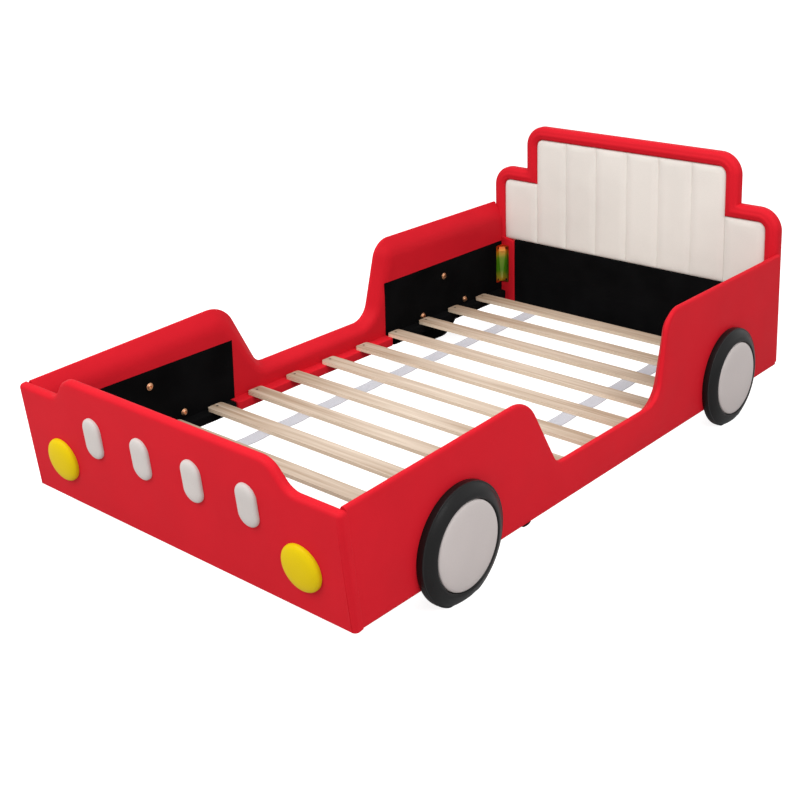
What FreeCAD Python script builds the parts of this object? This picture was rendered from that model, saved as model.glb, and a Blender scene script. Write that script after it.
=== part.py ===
import FreeCAD, Part

import math
import os

Vector = FreeCAD.Vector

os.makedirs("parts", exist_ok=True)

# A child's bed in the shape of a car. X runs across the bed, Y from the front board (the bonnet)
# to the headboard, and Z up. It is drawn with the front board's bottom edge at y = 0 and the floor
# at z = 0, and moved at the end so that the bottom centre of the whole bed is the origin.
# All sizes are in millimetres.

# ---------------------------------------------------------------- driving dimensions: whole bed
BED_WIDTH = 1130.0            # over the outer faces of the side panels
FRAME_LENGTH = 1976.0         # front board's bottom edge to the headboard's front face
GROUND_CLEARANCE = 70.0       # floor to the bottom edges of the panels
FIT_GAP = 0.3                 # play round a loose panel or disc in its pocket

# driving dimensions: side panels (heights are above the panel's bottom edge)
SIDE_THICKNESS = 42.0
SIDE_CORE_THICKNESS = 18.0
INNER_SKIN = 4.0              # covering over the board on the bed's inner side
CORE_INSET = 9.0              # padding round the edges of every board
FRONT_END_TOP = 302.0         # top edge at the front board
FRONT_WING_TOP = 332.0        # top edge where it falls to the door
WING_END_Y = 623.0            # corner of the top edge and the fall
DOOR_START_Y = 760.0
DOOR_SILL = 112.0
DOOR_END_Y = 1247.0
REAR_WING_Y = 1275.0          # corner of the rise and the rear top edge
REAR_WING_TOP = 378.0
WING_FALL_RADIUS = 105.0
DOOR_FRONT_RADIUS = 45.0
DOOR_REAR_RADIUS = 40.0
REAR_WING_RADIUS = 50.0
SOFT_OUTER_EDGE = 13.0        # rounding of a padded edge on the outside
SOFT_INNER_EDGE = 7.0         # rounding of the same edge on the inside

# driving dimensions: front board (heights are up its slope)
FRONT_THICKNESS = 25.0
FRONT_CORE_THICKNESS = 12.0
FRONT_RAKE = 7.8              # lean of the front board, degrees
FRONT_SHOULDER = 297.0
FRONT_TOP = 362.0
FRONT_RISE_OUTER_X = 428.0    # foot of the rise in the top edge, from the middle
FRONT_RISE_INNER_X = 362.0    # head of the rise
FRONT_RISE_RADIUS = 75.0
FRONT_SOFT_EDGE = 12.0
GRILLE_COUNT = 4
GRILLE_SPACING = 185.0
GRILLE_PAD_WIDTH = 70.0
GRILLE_PAD_HEIGHT = 118.0
GRILLE_PAD_BULGE = 13.0
GRILLE_CENTRE = 230.0
HEADLIGHT_X = 430.0
HEADLIGHT_CENTRE = 119.0
HEADLIGHT_RADIUS = 61.0
HEADLIGHT_BULGE = 19.0

# driving dimensions: headboard
HEADBOARD_WIDTH = 1108.0
HEADBOARD_DEPTH = 34.0
HEADBOARD_CORE_THICKNESS = 15.0
HEADBOARD_SHOULDER = 506.0
HEADBOARD_TOP = 670.0
HEADBOARD_STEP_X = 413.0      # upper part's half width
HEADBOARD_RADIUS = 72.0
BORDER_WIDTH = 51.0           # red roll between the outline and the cushion
ROLL_OUTER_EDGE = 16.0
ROLL_INNER_EDGE = 10.0
CUSHION_BOTTOM = 235.0
CUSHION_CORNER = 20.0
CENTRE_CHANNELS = 6           # upright channels of the cushion's upper part
CHANNEL_CROWN = 6.0
CHANNEL_SEAM_DEPTH = 10.0     # cushion's thickness along a seam
CHANNEL_END_REACH = 22.0      # over which a channel draws in at its ends
LOWER_PANEL_MARGIN = 57.0     # red strip between a side panel and the black panel
LOWER_PANEL_RECESS = 4.0
DUST_COVER = 2.0

# driving dimensions: linings, ledges, slats and straps
LINING_TOP = 225.0
LINING_BOTTOM = 14.0
FRONT_LINING_END_Y = 645.0
REAR_LINING_START_Y = 1328.0
LINING_END_MARGIN = 26.0      # from a lining to the board at the end of the side panel
LEDGE_WIDTH = 36.0
LEDGE_HEIGHT = 28.0
LEDGE_BOTTOM = 15.0
LEDGE_END_ROUND = 9.0
LEDGE_JOINT_GAP = 4.0
SLAT_COUNT = 12
SLAT_WIDTH = 55.0
SLAT_THICKNESS = 11.0
SLAT_END_GAP = 11.0           # slat's end to the side panel
SLAT_CORNER = 9.0
FIRST_SLAT_Y = 54.0
LAST_SLAT_MARGIN = 121.0      # last slat to the headboard
STRAP_WIDTH = 46.0
STRAP_THICKNESS = 1.6
STRAP_X = 298.0

# driving dimensions: wheels
FRONT_WHEEL_Y = 338.0
REAR_WHEEL_Y = 1637.0
TYRE_RADIUS = 152.0
TYRE_FLAT = 10.0              # how far the soft ring is pressed flat by the floor
TYRE_BULGE = 36.0             # how far the ring stands out from the side panel
HUB_RADIUS = 115.0
HUB_BULGE = 38.0
WHEEL_BOARD_THICKNESS = 12.0
TYRE_WRAP = 12.0              # padding round the board's rim

# driving dimensions: fasteners and brackets
BOLT_RADIUS = 4.0
BOLT_HEAD_RADIUS = 8.0
BOLT_HEAD_HEIGHT = 4.5
WASHER_RADIUS = 10.0
WASHER_THICKNESS = 1.5
INSERT_RADIUS = 6.5
BOLT_TOP_RISE = 106.0         # top bolt, above the wheel's centre
BOLT_LOW_DROP = 10.0          # lower two bolts, below the wheel's centre
BOLT_LOW_SPREAD = 116.0       # and to each side of it
BRACKET_HEIGHT = 140.0
BRACKET_BOTTOM = 70.0
BRACKET_FLANGE = 34.0
BRACKET_SHEET = 2.5
BRACKET_CORNER = 5.0
BRACKET_SCREW_MARGIN = 10.0   # screws to the bracket's top and bottom edges
BRACE_TOP_MARGIN = 6.0        # brace's head to the bracket's top edge
BRACE_SHOULDER_MARGIN = 22.0  # its broadest place to the same edge
BRACE_FOOT_MARGIN = 12.0      # its foot to the bottom edge
BRACE_TOP_REACH = 16.0        # along each flange, from the corner
BRACE_SHOULDER_REACH = 20.0
BRACE_FOOT_REACH = 7.0
SCREW_RADIUS = 1.9
SCREW_HEAD_RADIUS = 4.0
SCREW_HEAD_HEIGHT = 2.4
SLAT_SCREW_INSET = 14.0       # from the slat's end
SLAT_SCREW_LENGTH = 30.0
LEDGE_SCREW_LENGTH = 50.0
BRACKET_SCREW_LENGTH = 18.0
HEADBOARD_SCREW_LENGTH = 30.0  # through the headboard's red strip into its board

# ---------------------------------------------------------------- derived sizes
side_outer = BED_WIDTH / 2
side_inner = side_outer - SIDE_THICKNESS
core_inner = side_inner + INNER_SKIN
rake = math.radians(FRONT_RAKE)
bed_back = FRAME_LENGTH + HEADBOARD_DEPTH
headboard_core_front = bed_back - DUST_COVER - HEADBOARD_CORE_THICKNESS
cushion_half = HEADBOARD_WIDTH / 2 - BORDER_WIDTH
lower_panel_half = side_inner - LOWER_PANEL_MARGIN
cushion_step = HEADBOARD_STEP_X - BORDER_WIDTH
ledge_inner = side_inner - LEDGE_WIDTH
ledge_top = LEDGE_BOTTOM + LEDGE_HEIGHT
slat_end = side_inner - SLAT_END_GAP
last_slat_y = FRAME_LENGTH - LAST_SLAT_MARGIN - SLAT_WIDTH
slat_pitch = (last_slat_y - FIRST_SLAT_Y) / (SLAT_COUNT - 1)
wheel_centre = TYRE_RADIUS - TYRE_FLAT
wheel_board_radius = TYRE_RADIUS - TYRE_WRAP
tiny = 1e-4


def above_panel_bottom(height):
    """Height over the floor of a level given above the panels' bottom edges."""
    return GROUND_CLEARANCE + height


def front_board_y(height, depth):
    """Y of a plane of the raked front board, depth behind its face, at a height above its foot."""
    return depth / math.cos(rake) - height * math.tan(rake)


# ---------------------------------------------------------------- shapes that many pieces use
def outline(corners, place):
    """Flat face inside straight sides that meet at corners (a, b, radius), each rounded by an arc."""
    points = [Vector(a, b, 0) for a, b, _ in corners]
    starts, mids, ends = [], [], []
    for index, (_, _, radius) in enumerate(corners):
        corner = points[index]
        to_last = (points[index - 1] - corner).normalize()
        to_next = (points[(index + 1) % len(points)] - corner).normalize()
        half_angle = to_last.getAngle(to_next) / 2
        tangent = radius / math.tan(half_angle)
        middle = (to_last + to_next).normalize() * (radius / math.sin(half_angle) - radius)
        starts.append(corner + to_last * tangent)
        mids.append(corner + middle)
        ends.append(corner + to_next * tangent)
    edges = []
    for index, (_, _, radius) in enumerate(corners):
        if radius > 0:
            arc = (starts[index], mids[index], ends[index])
            edges.append(Part.Arc(*[place(p.x, p.y) for p in arc]).toShape())
        line_start = ends[index]
        line_end = starts[(index + 1) % len(corners)]
        if line_start.distanceToPoint(line_end) > tiny:
            sides = (place(line_start.x, line_start.y), place(line_end.x, line_end.y))
            edges.append(Part.makeLine(*sides))
    return Part.Face(Part.Wire(edges))


def plate_x(corners, x_start, x_end):
    """Plate whose outline is given as (y, z, radius) corners, between two planes across X."""
    face = outline(corners, lambda y, z: Vector(x_start, y, z))
    return face.extrude(Vector(x_end - x_start, 0, 0))


def plate_y(corners, y_start, y_end):
    """Plate whose outline is given as (x, z, radius) corners, between two planes across Y."""
    face = outline(corners, lambda x, z: Vector(x, y_start, z))
    return face.extrude(Vector(0, y_end - y_start, 0))


def block(x_span, y_span, z_span):
    """Square-edged block between two values along each axis."""
    low = Vector(min(x_span), min(y_span), min(z_span))
    high = Vector(max(x_span), max(y_span), max(z_span))
    size = high - low
    return Part.makeBox(size.x, size.y, size.z, low)


def rod(radius, start, end):
    """Round rod between two points."""
    along = end - start
    return Part.makeCylinder(radius, along.Length, start, along)


def soften(solid, radius, chosen):
    """Round the edges that the test picks."""
    return solid.makeFillet(radius, [edge for edge in solid.Edges if chosen(edge)])


def lies_on(edge, axis, value):
    """Whether an edge lies on the plane at a value along an axis."""
    low = getattr(edge.BoundBox, axis + "Min")
    high = getattr(edge.BoundBox, axis + "Max")
    return abs(low - value) < 0.01 and abs(high - value) < 0.01


def is_upright(edge):
    """Whether an edge is a straight line along Z."""
    box = edge.BoundBox
    return box.ZLength > 1 and box.XLength < 0.01 and box.YLength < 0.01


def inset_plate(solid_face, distance, sweep):
    """Plate swept from a face that is first drawn in by a distance all round."""
    return solid_face.makeOffset2D(-distance).extrude(sweep)


def mirrored(shape):
    """The same shape on the other side of the bed."""
    return shape.mirror(Vector(0, 0, 0), Vector(1, 0, 0))


def turned(profile, origin, axis, toward):
    """Solid of revolution from (along, radius) points; a middle point in a triple bends the side."""
    def at(along, radius):
        return origin + axis * along + toward * radius
    edges = []
    for side in profile:
        points = [at(*point) for point in side]
        if len(points) == 2:
            edges.append(Part.makeLine(*points))
        else:
            edges.append(Part.Arc(*points).toShape())
    face = Part.Face(Part.Wire(edges))
    return face.revolve(origin, axis, 360)


def dome_middle(base, base_radius, apex):
    """Point halfway up a round cap that crosses its axis squarely, between its base and its apex."""
    height = apex - base
    sphere = (base_radius ** 2 + height ** 2) / (2 * height)
    return (apex - sphere + math.sqrt(sphere ** 2 - (base_radius / 2) ** 2), base_radius / 2)


def without(piece, tools):
    """Piece with the room that other solids take up cut out of it."""
    for tool in tools:
        piece = piece.cut(tool)
    return piece


def leaned(shape):
    """Shape drawn on an upright front board, leaned forward with the real one."""
    shape = shape.copy()
    foot = Vector(0, 0, GROUND_CLEARANCE)
    shape.rotate(foot, Vector(1, 0, 0), FRONT_RAKE)
    return shape


# ---------------------------------------------------------------- fasteners
def wood_screw(head, direction, length):
    """Countersunk screw: a cone down to the shank and a shank, from its head's middle inwards."""
    direction = Vector(direction).normalize()
    neck = head + direction * SCREW_HEAD_HEIGHT
    cone = Part.makeCone(SCREW_HEAD_RADIUS, SCREW_RADIUS, SCREW_HEAD_HEIGHT, head, direction)
    return cone.fuse(rod(SCREW_RADIUS, neck, head + direction * length)).removeSplitter()


def wheel_bolt(seat, direction):
    """Flat-headed bolt under a washer, with its threaded insert; the washer rests on the seat."""
    direction = Vector(direction).normalize()
    under_head = seat - direction * WASHER_THICKNESS
    reach = side_outer - side_inner + WHEEL_BOARD_THICKNESS - 2
    head = rod(BOLT_HEAD_RADIUS, under_head - direction * BOLT_HEAD_HEIGHT, under_head)
    head = head.makeFillet(1.5, [head.Edges[0]])
    bolt = head.fuse(rod(BOLT_RADIUS, under_head, seat + direction * reach))
    washer = rod(WASHER_RADIUS, under_head, seat).cut(rod(BOLT_RADIUS, under_head, seat))
    insert_start = seat + direction * (side_outer - side_inner)
    insert_end = seat + direction * reach
    insert = rod(INSERT_RADIUS, insert_start, insert_end)
    insert = insert.cut(rod(BOLT_RADIUS, insert_start, insert_end))
    return bolt.removeSplitter(), washer, insert


# ---------------------------------------------------------------- side panels
def side_outline():
    """Corners (y, z, radius) of a side panel: front wing, low door sill and higher rear wing."""
    bottom = above_panel_bottom(0)
    front_foot = front_board_y(0, FRONT_THICKNESS)
    front_head = front_board_y(FRONT_END_TOP, FRONT_THICKNESS)
    return [
        (front_foot, bottom, 0),
        (front_head, above_panel_bottom(FRONT_END_TOP), 0),
        (WING_END_Y, above_panel_bottom(FRONT_WING_TOP), WING_FALL_RADIUS),
        (DOOR_START_Y, above_panel_bottom(DOOR_SILL), DOOR_FRONT_RADIUS),
        (DOOR_END_Y, above_panel_bottom(DOOR_SILL), DOOR_REAR_RADIUS),
        (REAR_WING_Y, above_panel_bottom(REAR_WING_TOP), REAR_WING_RADIUS),
        (FRAME_LENGTH, above_panel_bottom(REAR_WING_TOP), 0),
        (FRAME_LENGTH, bottom, 0),
    ]


def side_core():
    """Board inside the right side panel."""
    face = outline(side_outline(), lambda y, z: Vector(core_inner, y, z))
    return inset_plate(face, CORE_INSET, Vector(SIDE_CORE_THICKNESS, 0, 0))


def lining_spans():
    """Length along the bed of the front and the rear lining."""
    front_start = front_board_y(0, FRONT_THICKNESS) + LINING_END_MARGIN
    rear_end = FRAME_LENGTH - LINING_END_MARGIN + CORE_INSET
    return {"front": (front_start, FRONT_LINING_END_Y), "rear": (REAR_LINING_START_Y, rear_end)}


def lining(span, gap):
    """Black lining plate let into the inner face of the right side panel."""
    low = above_panel_bottom(LINING_BOTTOM) + gap
    high = above_panel_bottom(LINING_TOP) - gap
    corners = [(y, z, 0) for y, z in ((span[0] + gap, low), (span[0] + gap, high),
                                      (span[1] - gap, high), (span[1] - gap, low))]
    return plate_x(corners, side_inner, core_inner)


def side_cover():
    """Padded cover of the right side panel, soft along its top edge, open behind the linings."""
    cover = plate_x(side_outline(), side_inner, side_outer)
    low_edge = above_panel_bottom(0) + 1

    def runs_along_top(edge, x):
        return lies_on(edge, "X", x) and edge.BoundBox.ZMin > low_edge and edge.BoundBox.YLength > 5

    cover = soften(cover, SOFT_OUTER_EDGE, lambda edge: runs_along_top(edge, side_outer))
    return soften(cover, SOFT_INNER_EDGE, lambda edge: runs_along_top(edge, side_inner))


# ---------------------------------------------------------------- front board
def front_outline():
    """Corners (x, z, radius) of the front board: low shoulders and a raised middle."""
    foot = above_panel_bottom(0)
    shoulder = above_panel_bottom(FRONT_SHOULDER)
    top = above_panel_bottom(FRONT_TOP)
    right = [
        (FRONT_RISE_INNER_X, top, FRONT_RISE_RADIUS),
        (FRONT_RISE_OUTER_X, shoulder, FRONT_RISE_RADIUS),
        (side_outer, shoulder, FRONT_SOFT_EDGE),
        (side_outer, foot, 0),
    ]
    left = [(-x, z, radius) for x, z, radius in reversed(right)]
    return right + left


def front_core():
    """Board inside the front board."""
    depth = FRONT_THICKNESS - INNER_SKIN - FRONT_CORE_THICKNESS
    face = outline(front_outline(), lambda x, z: Vector(x, depth, z))
    return inset_plate(face, CORE_INSET, Vector(0, FRONT_CORE_THICKNESS, 0))


def front_lining(gap):
    """Black lining plate let into the back of the front board."""
    reach = ledge_inner - gap
    low = above_panel_bottom(LINING_BOTTOM) + gap
    high = above_panel_bottom(LINING_TOP) - gap
    corners = [(-reach, low, 0), (-reach, high, 0), (reach, high, 0), (reach, low, 0)]
    return plate_y(corners, FRONT_THICKNESS - INNER_SKIN, FRONT_THICKNESS)


def front_cover():
    """Padded cover of the front board with soft edges round its face."""
    cover = plate_y(front_outline(), 0, FRONT_THICKNESS)
    foot = above_panel_bottom(0) + 1
    cover = soften(cover, FRONT_SOFT_EDGE,
                   lambda edge: lies_on(edge, "Y", 0) and edge.BoundBox.ZMax > foot)
    return soften(cover, SOFT_INNER_EDGE,
                  lambda edge: lies_on(edge, "Y", FRONT_THICKNESS) and edge.BoundBox.ZMin > foot
                  and edge.BoundBox.ZLength < FRONT_TOP - FRONT_SHOULDER)


def grille_pad(x):
    """Padded pill on the front board, crowned towards its middle."""
    centre = above_panel_bottom(GRILLE_CENTRE)
    levels = [(0, 0), (0.45, 0), (0.8, 2.2), (1, 9)]
    rings = []
    for rise, draw_in in levels:
        half_width = GRILLE_PAD_WIDTH / 2 - draw_in
        straight = (GRILLE_PAD_HEIGHT - GRILLE_PAD_WIDTH) / 2
        depth = -GRILLE_PAD_BULGE * rise
        corner_points = [(x - half_width, centre - straight), (x - half_width, centre + straight),
                         (x + half_width, centre + straight), (x + half_width, centre - straight)]
        left_low, left_high, right_high, right_low = [Vector(a, depth, b) for a, b in corner_points]
        crown = Vector(x, depth, centre + straight + half_width)
        base = Vector(x, depth, centre - straight - half_width)
        slant = half_width * math.sqrt(0.5)
        corners_out = [Vector(x + sx * slant, depth, centre + sz * (straight + slant))
                       for sx, sz in ((-1, 1), (1, 1), (1, -1), (-1, -1))]
        rings.append(Part.Wire([
            Part.makeLine(left_low, left_high),
            Part.Arc(left_high, corners_out[0], crown).toShape(),
            Part.Arc(crown, corners_out[1], right_high).toShape(),
            Part.makeLine(right_high, right_low),
            Part.Arc(right_low, corners_out[2], base).toShape(),
            Part.Arc(base, corners_out[3], left_low).toShape(),
        ]))
    return Part.makeLoft(rings, True, True)


def headlight_pad(x):
    """Round domed lamp pad on the front board."""
    centre = Vector(x, 0, above_panel_bottom(HEADLIGHT_CENTRE))
    rim = 0.3 * HEADLIGHT_BULGE
    shoulder_radius = 0.86 * HEADLIGHT_RADIUS
    shoulder = 0.66 * HEADLIGHT_BULGE
    profile = [
        [(0, 0), (0, HEADLIGHT_RADIUS)],
        [(0, HEADLIGHT_RADIUS), (rim, HEADLIGHT_RADIUS)],
        [(rim, HEADLIGHT_RADIUS), (0.55 * HEADLIGHT_BULGE, 0.955 * HEADLIGHT_RADIUS),
         (shoulder, shoulder_radius)],
        [(shoulder, shoulder_radius), dome_middle(shoulder, shoulder_radius, HEADLIGHT_BULGE),
         (HEADLIGHT_BULGE, 0)],
        [(HEADLIGHT_BULGE, 0), (0, 0)],
    ]
    return turned(profile, centre, Vector(0, -1, 0), Vector(0, 0, 1))


# ---------------------------------------------------------------- headboard
def headboard_outline():
    """Corners (x, z, radius) of the headboard: wide shoulders and a narrower upper part."""
    half = HEADBOARD_WIDTH / 2
    right = [
        (HEADBOARD_STEP_X, above_panel_bottom(HEADBOARD_TOP), HEADBOARD_RADIUS),
        (HEADBOARD_STEP_X, above_panel_bottom(HEADBOARD_SHOULDER), 0),
        (half, above_panel_bottom(HEADBOARD_SHOULDER), HEADBOARD_RADIUS),
        (half, above_panel_bottom(0), 0),
    ]
    left = [(-x, z, radius) for x, z, radius in reversed(right)]
    return right + left


def cushion_outline(gap):
    """Corners (x, z, radius) of the cushion's field inside the red border."""
    top = above_panel_bottom(HEADBOARD_TOP) - BORDER_WIDTH - gap
    shoulder = above_panel_bottom(HEADBOARD_SHOULDER) - BORDER_WIDTH - gap
    half = cushion_half - gap
    step = cushion_step - gap
    right = [
        (step, top, CUSHION_CORNER),
        (step, shoulder, 0),
        (half, shoulder, CUSHION_CORNER),
        (half, above_panel_bottom(CUSHION_BOTTOM) + gap, 0),
    ]
    left = [(-x, z, radius) for x, z, radius in reversed(right)]
    return right + left


def lower_panel(gap):
    """Black panel that closes the headboard's frame below the cushion."""
    half = lower_panel_half - gap
    low = above_panel_bottom(0)
    high = above_panel_bottom(CUSHION_BOTTOM) - gap
    recess = LOWER_PANEL_RECESS if gap > 0 else 0.0
    corners = [(-half, low, 0), (-half, high, 0), (half, high, 0), (half, low, 0)]
    return plate_y(corners, FRAME_LENGTH + recess, headboard_core_front)


def headboard_core():
    """Board inside the headboard."""
    face = outline(headboard_outline(), lambda x, z: Vector(x, headboard_core_front, z))
    return inset_plate(face, CORE_INSET, Vector(0, HEADBOARD_CORE_THICKNESS, 0))


def headboard_cover():
    """Red padded border of the headboard, rolled over its edge and round to the back."""
    back = bed_back - DUST_COVER
    cover = plate_y(headboard_outline(), FRAME_LENGTH, back)
    cover = soften(cover, ROLL_OUTER_EDGE,
                   lambda edge: lies_on(edge, "Y", FRAME_LENGTH)
                   and edge.BoundBox.ZMax > above_panel_bottom(0) + 1)
    seat_top = above_panel_bottom(REAR_WING_TOP) - SOFT_INNER_EDGE
    seat_depth = FRAME_LENGTH + ROLL_OUTER_EDGE
    for side in (-1, 1):
        seat = block((side * side_inner, side * HEADBOARD_WIDTH / 2), (FRAME_LENGTH, seat_depth),
                     (above_panel_bottom(0), seat_top))
        cover = cover.fuse(seat)
    field = plate_y(cushion_outline(0), FRAME_LENGTH, headboard_core_front)
    cover = cover.cut(field.fuse(lower_panel(0))).removeSplitter()

    def borders_field(edge):
        box = edge.BoundBox
        inside = abs(box.XMin) < cushion_half + 1 and abs(box.XMax) < cushion_half + 1
        return lies_on(edge, "Y", FRAME_LENGTH) and inside and box.ZMax > field_bottom

    field_bottom = above_panel_bottom(CUSHION_BOTTOM) + 1
    cover = soften(cover, ROLL_INNER_EDGE, borders_field)
    return cover.cut(headboard_core())


def cushion_channel(x_start, x_end, z_bottom, z_top, gap):
    """One upright channel: crowned across its width, and drawn in at its two ends."""
    middle = (x_start + x_end) / 2
    height = z_top - z_bottom
    near_end = CHANNEL_END_REACH / 3
    levels = [(gap, 0.45), (near_end, 0.85), (CHANNEL_END_REACH, 1.0),
              (height - CHANNEL_END_REACH, 1.0), (height - near_end, 0.85), (height - gap, 0.45)]
    rings = []
    for rise, fullness in levels:
        z = z_bottom + rise
        seam_y = headboard_core_front - CHANNEL_SEAM_DEPTH * (0.35 + 0.65 * fullness)
        crown_y = seam_y - CHANNEL_CROWN * fullness
        back_left = Vector(x_start, headboard_core_front, z)
        back_right = Vector(x_end, headboard_core_front, z)
        front_left = Vector(x_start, seam_y, z)
        front_right = Vector(x_end, seam_y, z)
        crown = Part.Arc(front_right, Vector(middle, crown_y, z), front_left).toShape()
        rings.append(Part.Wire([Part.makeLine(back_left, back_right),
                                Part.makeLine(back_right, front_right), crown,
                                Part.makeLine(front_left, back_left)]))
    return Part.makeLoft(rings, True, True)


def headboard_cushion():
    """Cream cushion of upright channels, trimmed to the stepped field that it fills."""
    bottom = above_panel_bottom(CUSHION_BOTTOM)
    top = above_panel_bottom(HEADBOARD_TOP) - BORDER_WIDTH
    shoulder = above_panel_bottom(HEADBOARD_SHOULDER) - BORDER_WIDTH
    channel_width = 2 * cushion_step / CENTRE_CHANNELS
    channels = []
    for index in range(CENTRE_CHANNELS):
        left = -cushion_step + index * channel_width
        channels.append(cushion_channel(left, left + channel_width, bottom, top, FIT_GAP))
    for side in (-1, 1):
        near, far = side * cushion_step, side * (cushion_half - FIT_GAP)
        channels.append(cushion_channel(min(near, far), max(near, far), bottom, shoulder, FIT_GAP))
    cushion = channels[0]
    for channel in channels[1:]:
        cushion = cushion.fuse(channel)
    field = plate_y(cushion_outline(FIT_GAP), FRAME_LENGTH - CHANNEL_CROWN, headboard_core_front)
    return cushion.common(field)


def headboard_back():
    """Dust cover stretched over the headboard's back."""
    face = outline(headboard_outline(), lambda x, z: Vector(x, bed_back - DUST_COVER, z))
    return inset_plate(face, CORE_INSET / 2, Vector(0, DUST_COVER, 0))


# ---------------------------------------------------------------- slats and what carries them
def ledge_spans():
    """Length along the bed of the front, middle and rear ledge."""
    front_start = front_board_y(0, FRONT_THICKNESS) + LEDGE_JOINT_GAP
    front_end = FRONT_LINING_END_Y - LEDGE_WIDTH / 2
    rear_start = REAR_LINING_START_Y + LEDGE_JOINT_GAP
    rear_end = FRAME_LENGTH - LEDGE_WIDTH / 2
    return {
        "front": (front_start, front_end),
        "middle": (front_end + LEDGE_JOINT_GAP, rear_start - LEDGE_JOINT_GAP),
        "rear": (rear_start, rear_end),
    }


def ledge(span):
    """Covered batten along the right side panel, its two free corners rounded."""
    z_span = (above_panel_bottom(LEDGE_BOTTOM), above_panel_bottom(ledge_top))
    batten = block((ledge_inner, side_inner), span, z_span)
    return soften(batten, LEDGE_END_ROUND,
                  lambda edge: is_upright(edge) and lies_on(edge, "X", ledge_inner))


def slat(y_start):
    """Plywood slat with rounded corners."""
    bottom = above_panel_bottom(ledge_top)
    board = block((-slat_end, slat_end), (y_start, y_start + SLAT_WIDTH),
                  (bottom, bottom + SLAT_THICKNESS))
    return soften(board, SLAT_CORNER, is_upright)


def strap(x):
    """Woven strap under the slats, fixed to each of them."""
    top = above_panel_bottom(ledge_top)
    half = STRAP_WIDTH / 2
    return block((x - half, x + half), (FIRST_SLAT_Y, last_slat_y + SLAT_WIDTH),
                 (top - STRAP_THICKNESS, top))


# ---------------------------------------------------------------- wheels
def wheel_origin(y):
    """Centre of a right wheel where it meets the side panel."""
    return Vector(side_outer, y, wheel_centre)


def wheel_board(y):
    """Round board that carries the wheel's padding."""
    start = wheel_origin(y)
    return rod(wheel_board_radius, start, start + Vector(WHEEL_BOARD_THICKNESS, 0, 0))


def tyre_pad(y):
    """Padded black ring round the wheel board's rim, with a flat where it meets the floor."""
    face = WHEEL_BOARD_THICKNESS
    rim = wheel_board_radius + FIT_GAP
    hub = HUB_RADIUS + FIT_GAP
    edge_along, edge_radius = 0.42 * TYRE_BULGE, TYRE_RADIUS
    brow_along, brow_radius = 0.9 * TYRE_BULGE, TYRE_RADIUS - 11
    lip_along = 0.74 * TYRE_BULGE
    profile = [
        [(0, rim), (0, TYRE_RADIUS - 2)],
        [(0, TYRE_RADIUS - 2), (edge_along, edge_radius)],
        [(edge_along, edge_radius), (0.74 * TYRE_BULGE, TYRE_RADIUS - 3.6),
         (brow_along, brow_radius)],
        [(brow_along, brow_radius), (TYRE_BULGE, TYRE_RADIUS - 22), (lip_along, hub)],
        [(lip_along, hub), (face, hub)],
        [(face, hub), (face, rim)],
        [(face, rim), (0, rim)],
    ]
    ring = turned(profile, wheel_origin(y), Vector(1, 0, 0), Vector(0, 0, 1))
    below_floor = block((side_outer - 1, side_outer + TYRE_BULGE + 1),
                        (y - TYRE_RADIUS, y + TYRE_RADIUS), (-TYRE_RADIUS, 0))
    return ring.cut(below_floor)


def hub_pad(y):
    """Pale padded disc in the middle of the wheel, gently domed."""
    face = WHEEL_BOARD_THICKNESS
    rim_along = 0.58 * HUB_BULGE
    brow_along, brow_radius = 0.79 * HUB_BULGE, 0.9 * HUB_RADIUS
    profile = [
        [(face, 0), (face, HUB_RADIUS)],
        [(face, HUB_RADIUS), (rim_along, HUB_RADIUS)],
        [(rim_along, HUB_RADIUS), (0.72 * HUB_BULGE, 0.967 * HUB_RADIUS),
         (brow_along, brow_radius)],
        [(brow_along, brow_radius), dome_middle(brow_along, brow_radius, HUB_BULGE),
         (HUB_BULGE, 0)],
        [(HUB_BULGE, 0), (face, 0)],
    ]
    return turned(profile, wheel_origin(y), Vector(1, 0, 0), Vector(0, 0, 1))


def wheel_bolt_seats(y):
    """Where the three bolts of a right wheel pass the side panel's inner face."""
    places = [(0, BOLT_TOP_RISE), (-BOLT_LOW_SPREAD, -BOLT_LOW_DROP),
              (BOLT_LOW_SPREAD, -BOLT_LOW_DROP)]
    return [Vector(side_inner, y + along, wheel_centre + rise) for along, rise in places]


# ---------------------------------------------------------------- corner brackets
def corner_bracket(z_bottom):
    """Pressed bracket for a right corner at x = 0, y = 0, with its flanges along -X and -Y.

    A tapered brace, broad at the top and narrow at the bottom, crosses the inside of the corner.
    """
    z_top = z_bottom + BRACKET_HEIGHT
    side_flange = block((-BRACKET_SHEET, 0), (-BRACKET_FLANGE, 0), (z_bottom, z_top))
    end_flange = block((-BRACKET_FLANGE, 0), (-BRACKET_SHEET, 0), (z_bottom, z_top))

    def is_free_corner(edge):
        box = edge.BoundBox
        short = box.ZLength < 0.01 and box.XLength + box.YLength < BRACKET_SHEET + 0.01
        return short and (box.XMax < 1 - BRACKET_FLANGE or box.YMax < 1 - BRACKET_FLANGE)

    flanges = side_flange.fuse(end_flange).removeSplitter()
    bracket = soften(flanges, BRACKET_CORNER, is_free_corner)
    rings = []
    sections = [(z_bottom + BRACE_FOOT_MARGIN, BRACE_FOOT_REACH),
                (z_top - BRACE_SHOULDER_MARGIN, BRACE_SHOULDER_REACH),
                (z_top - BRACE_TOP_MARGIN, BRACE_TOP_REACH)]
    for z, reach in sections:
        inner = reach - 1.6 * BRACKET_SHEET
        corners = [(-reach, -BRACKET_SHEET), (-BRACKET_SHEET, -reach),
                   (-BRACKET_SHEET, -inner), (-inner, -BRACKET_SHEET)]
        points = [Vector(x, y, z) for x, y in corners]
        rings.append(Part.makePolygon(points + [points[0]]))
    return bracket.fuse(Part.makeLoft(rings, True, True)).removeSplitter()


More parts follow.
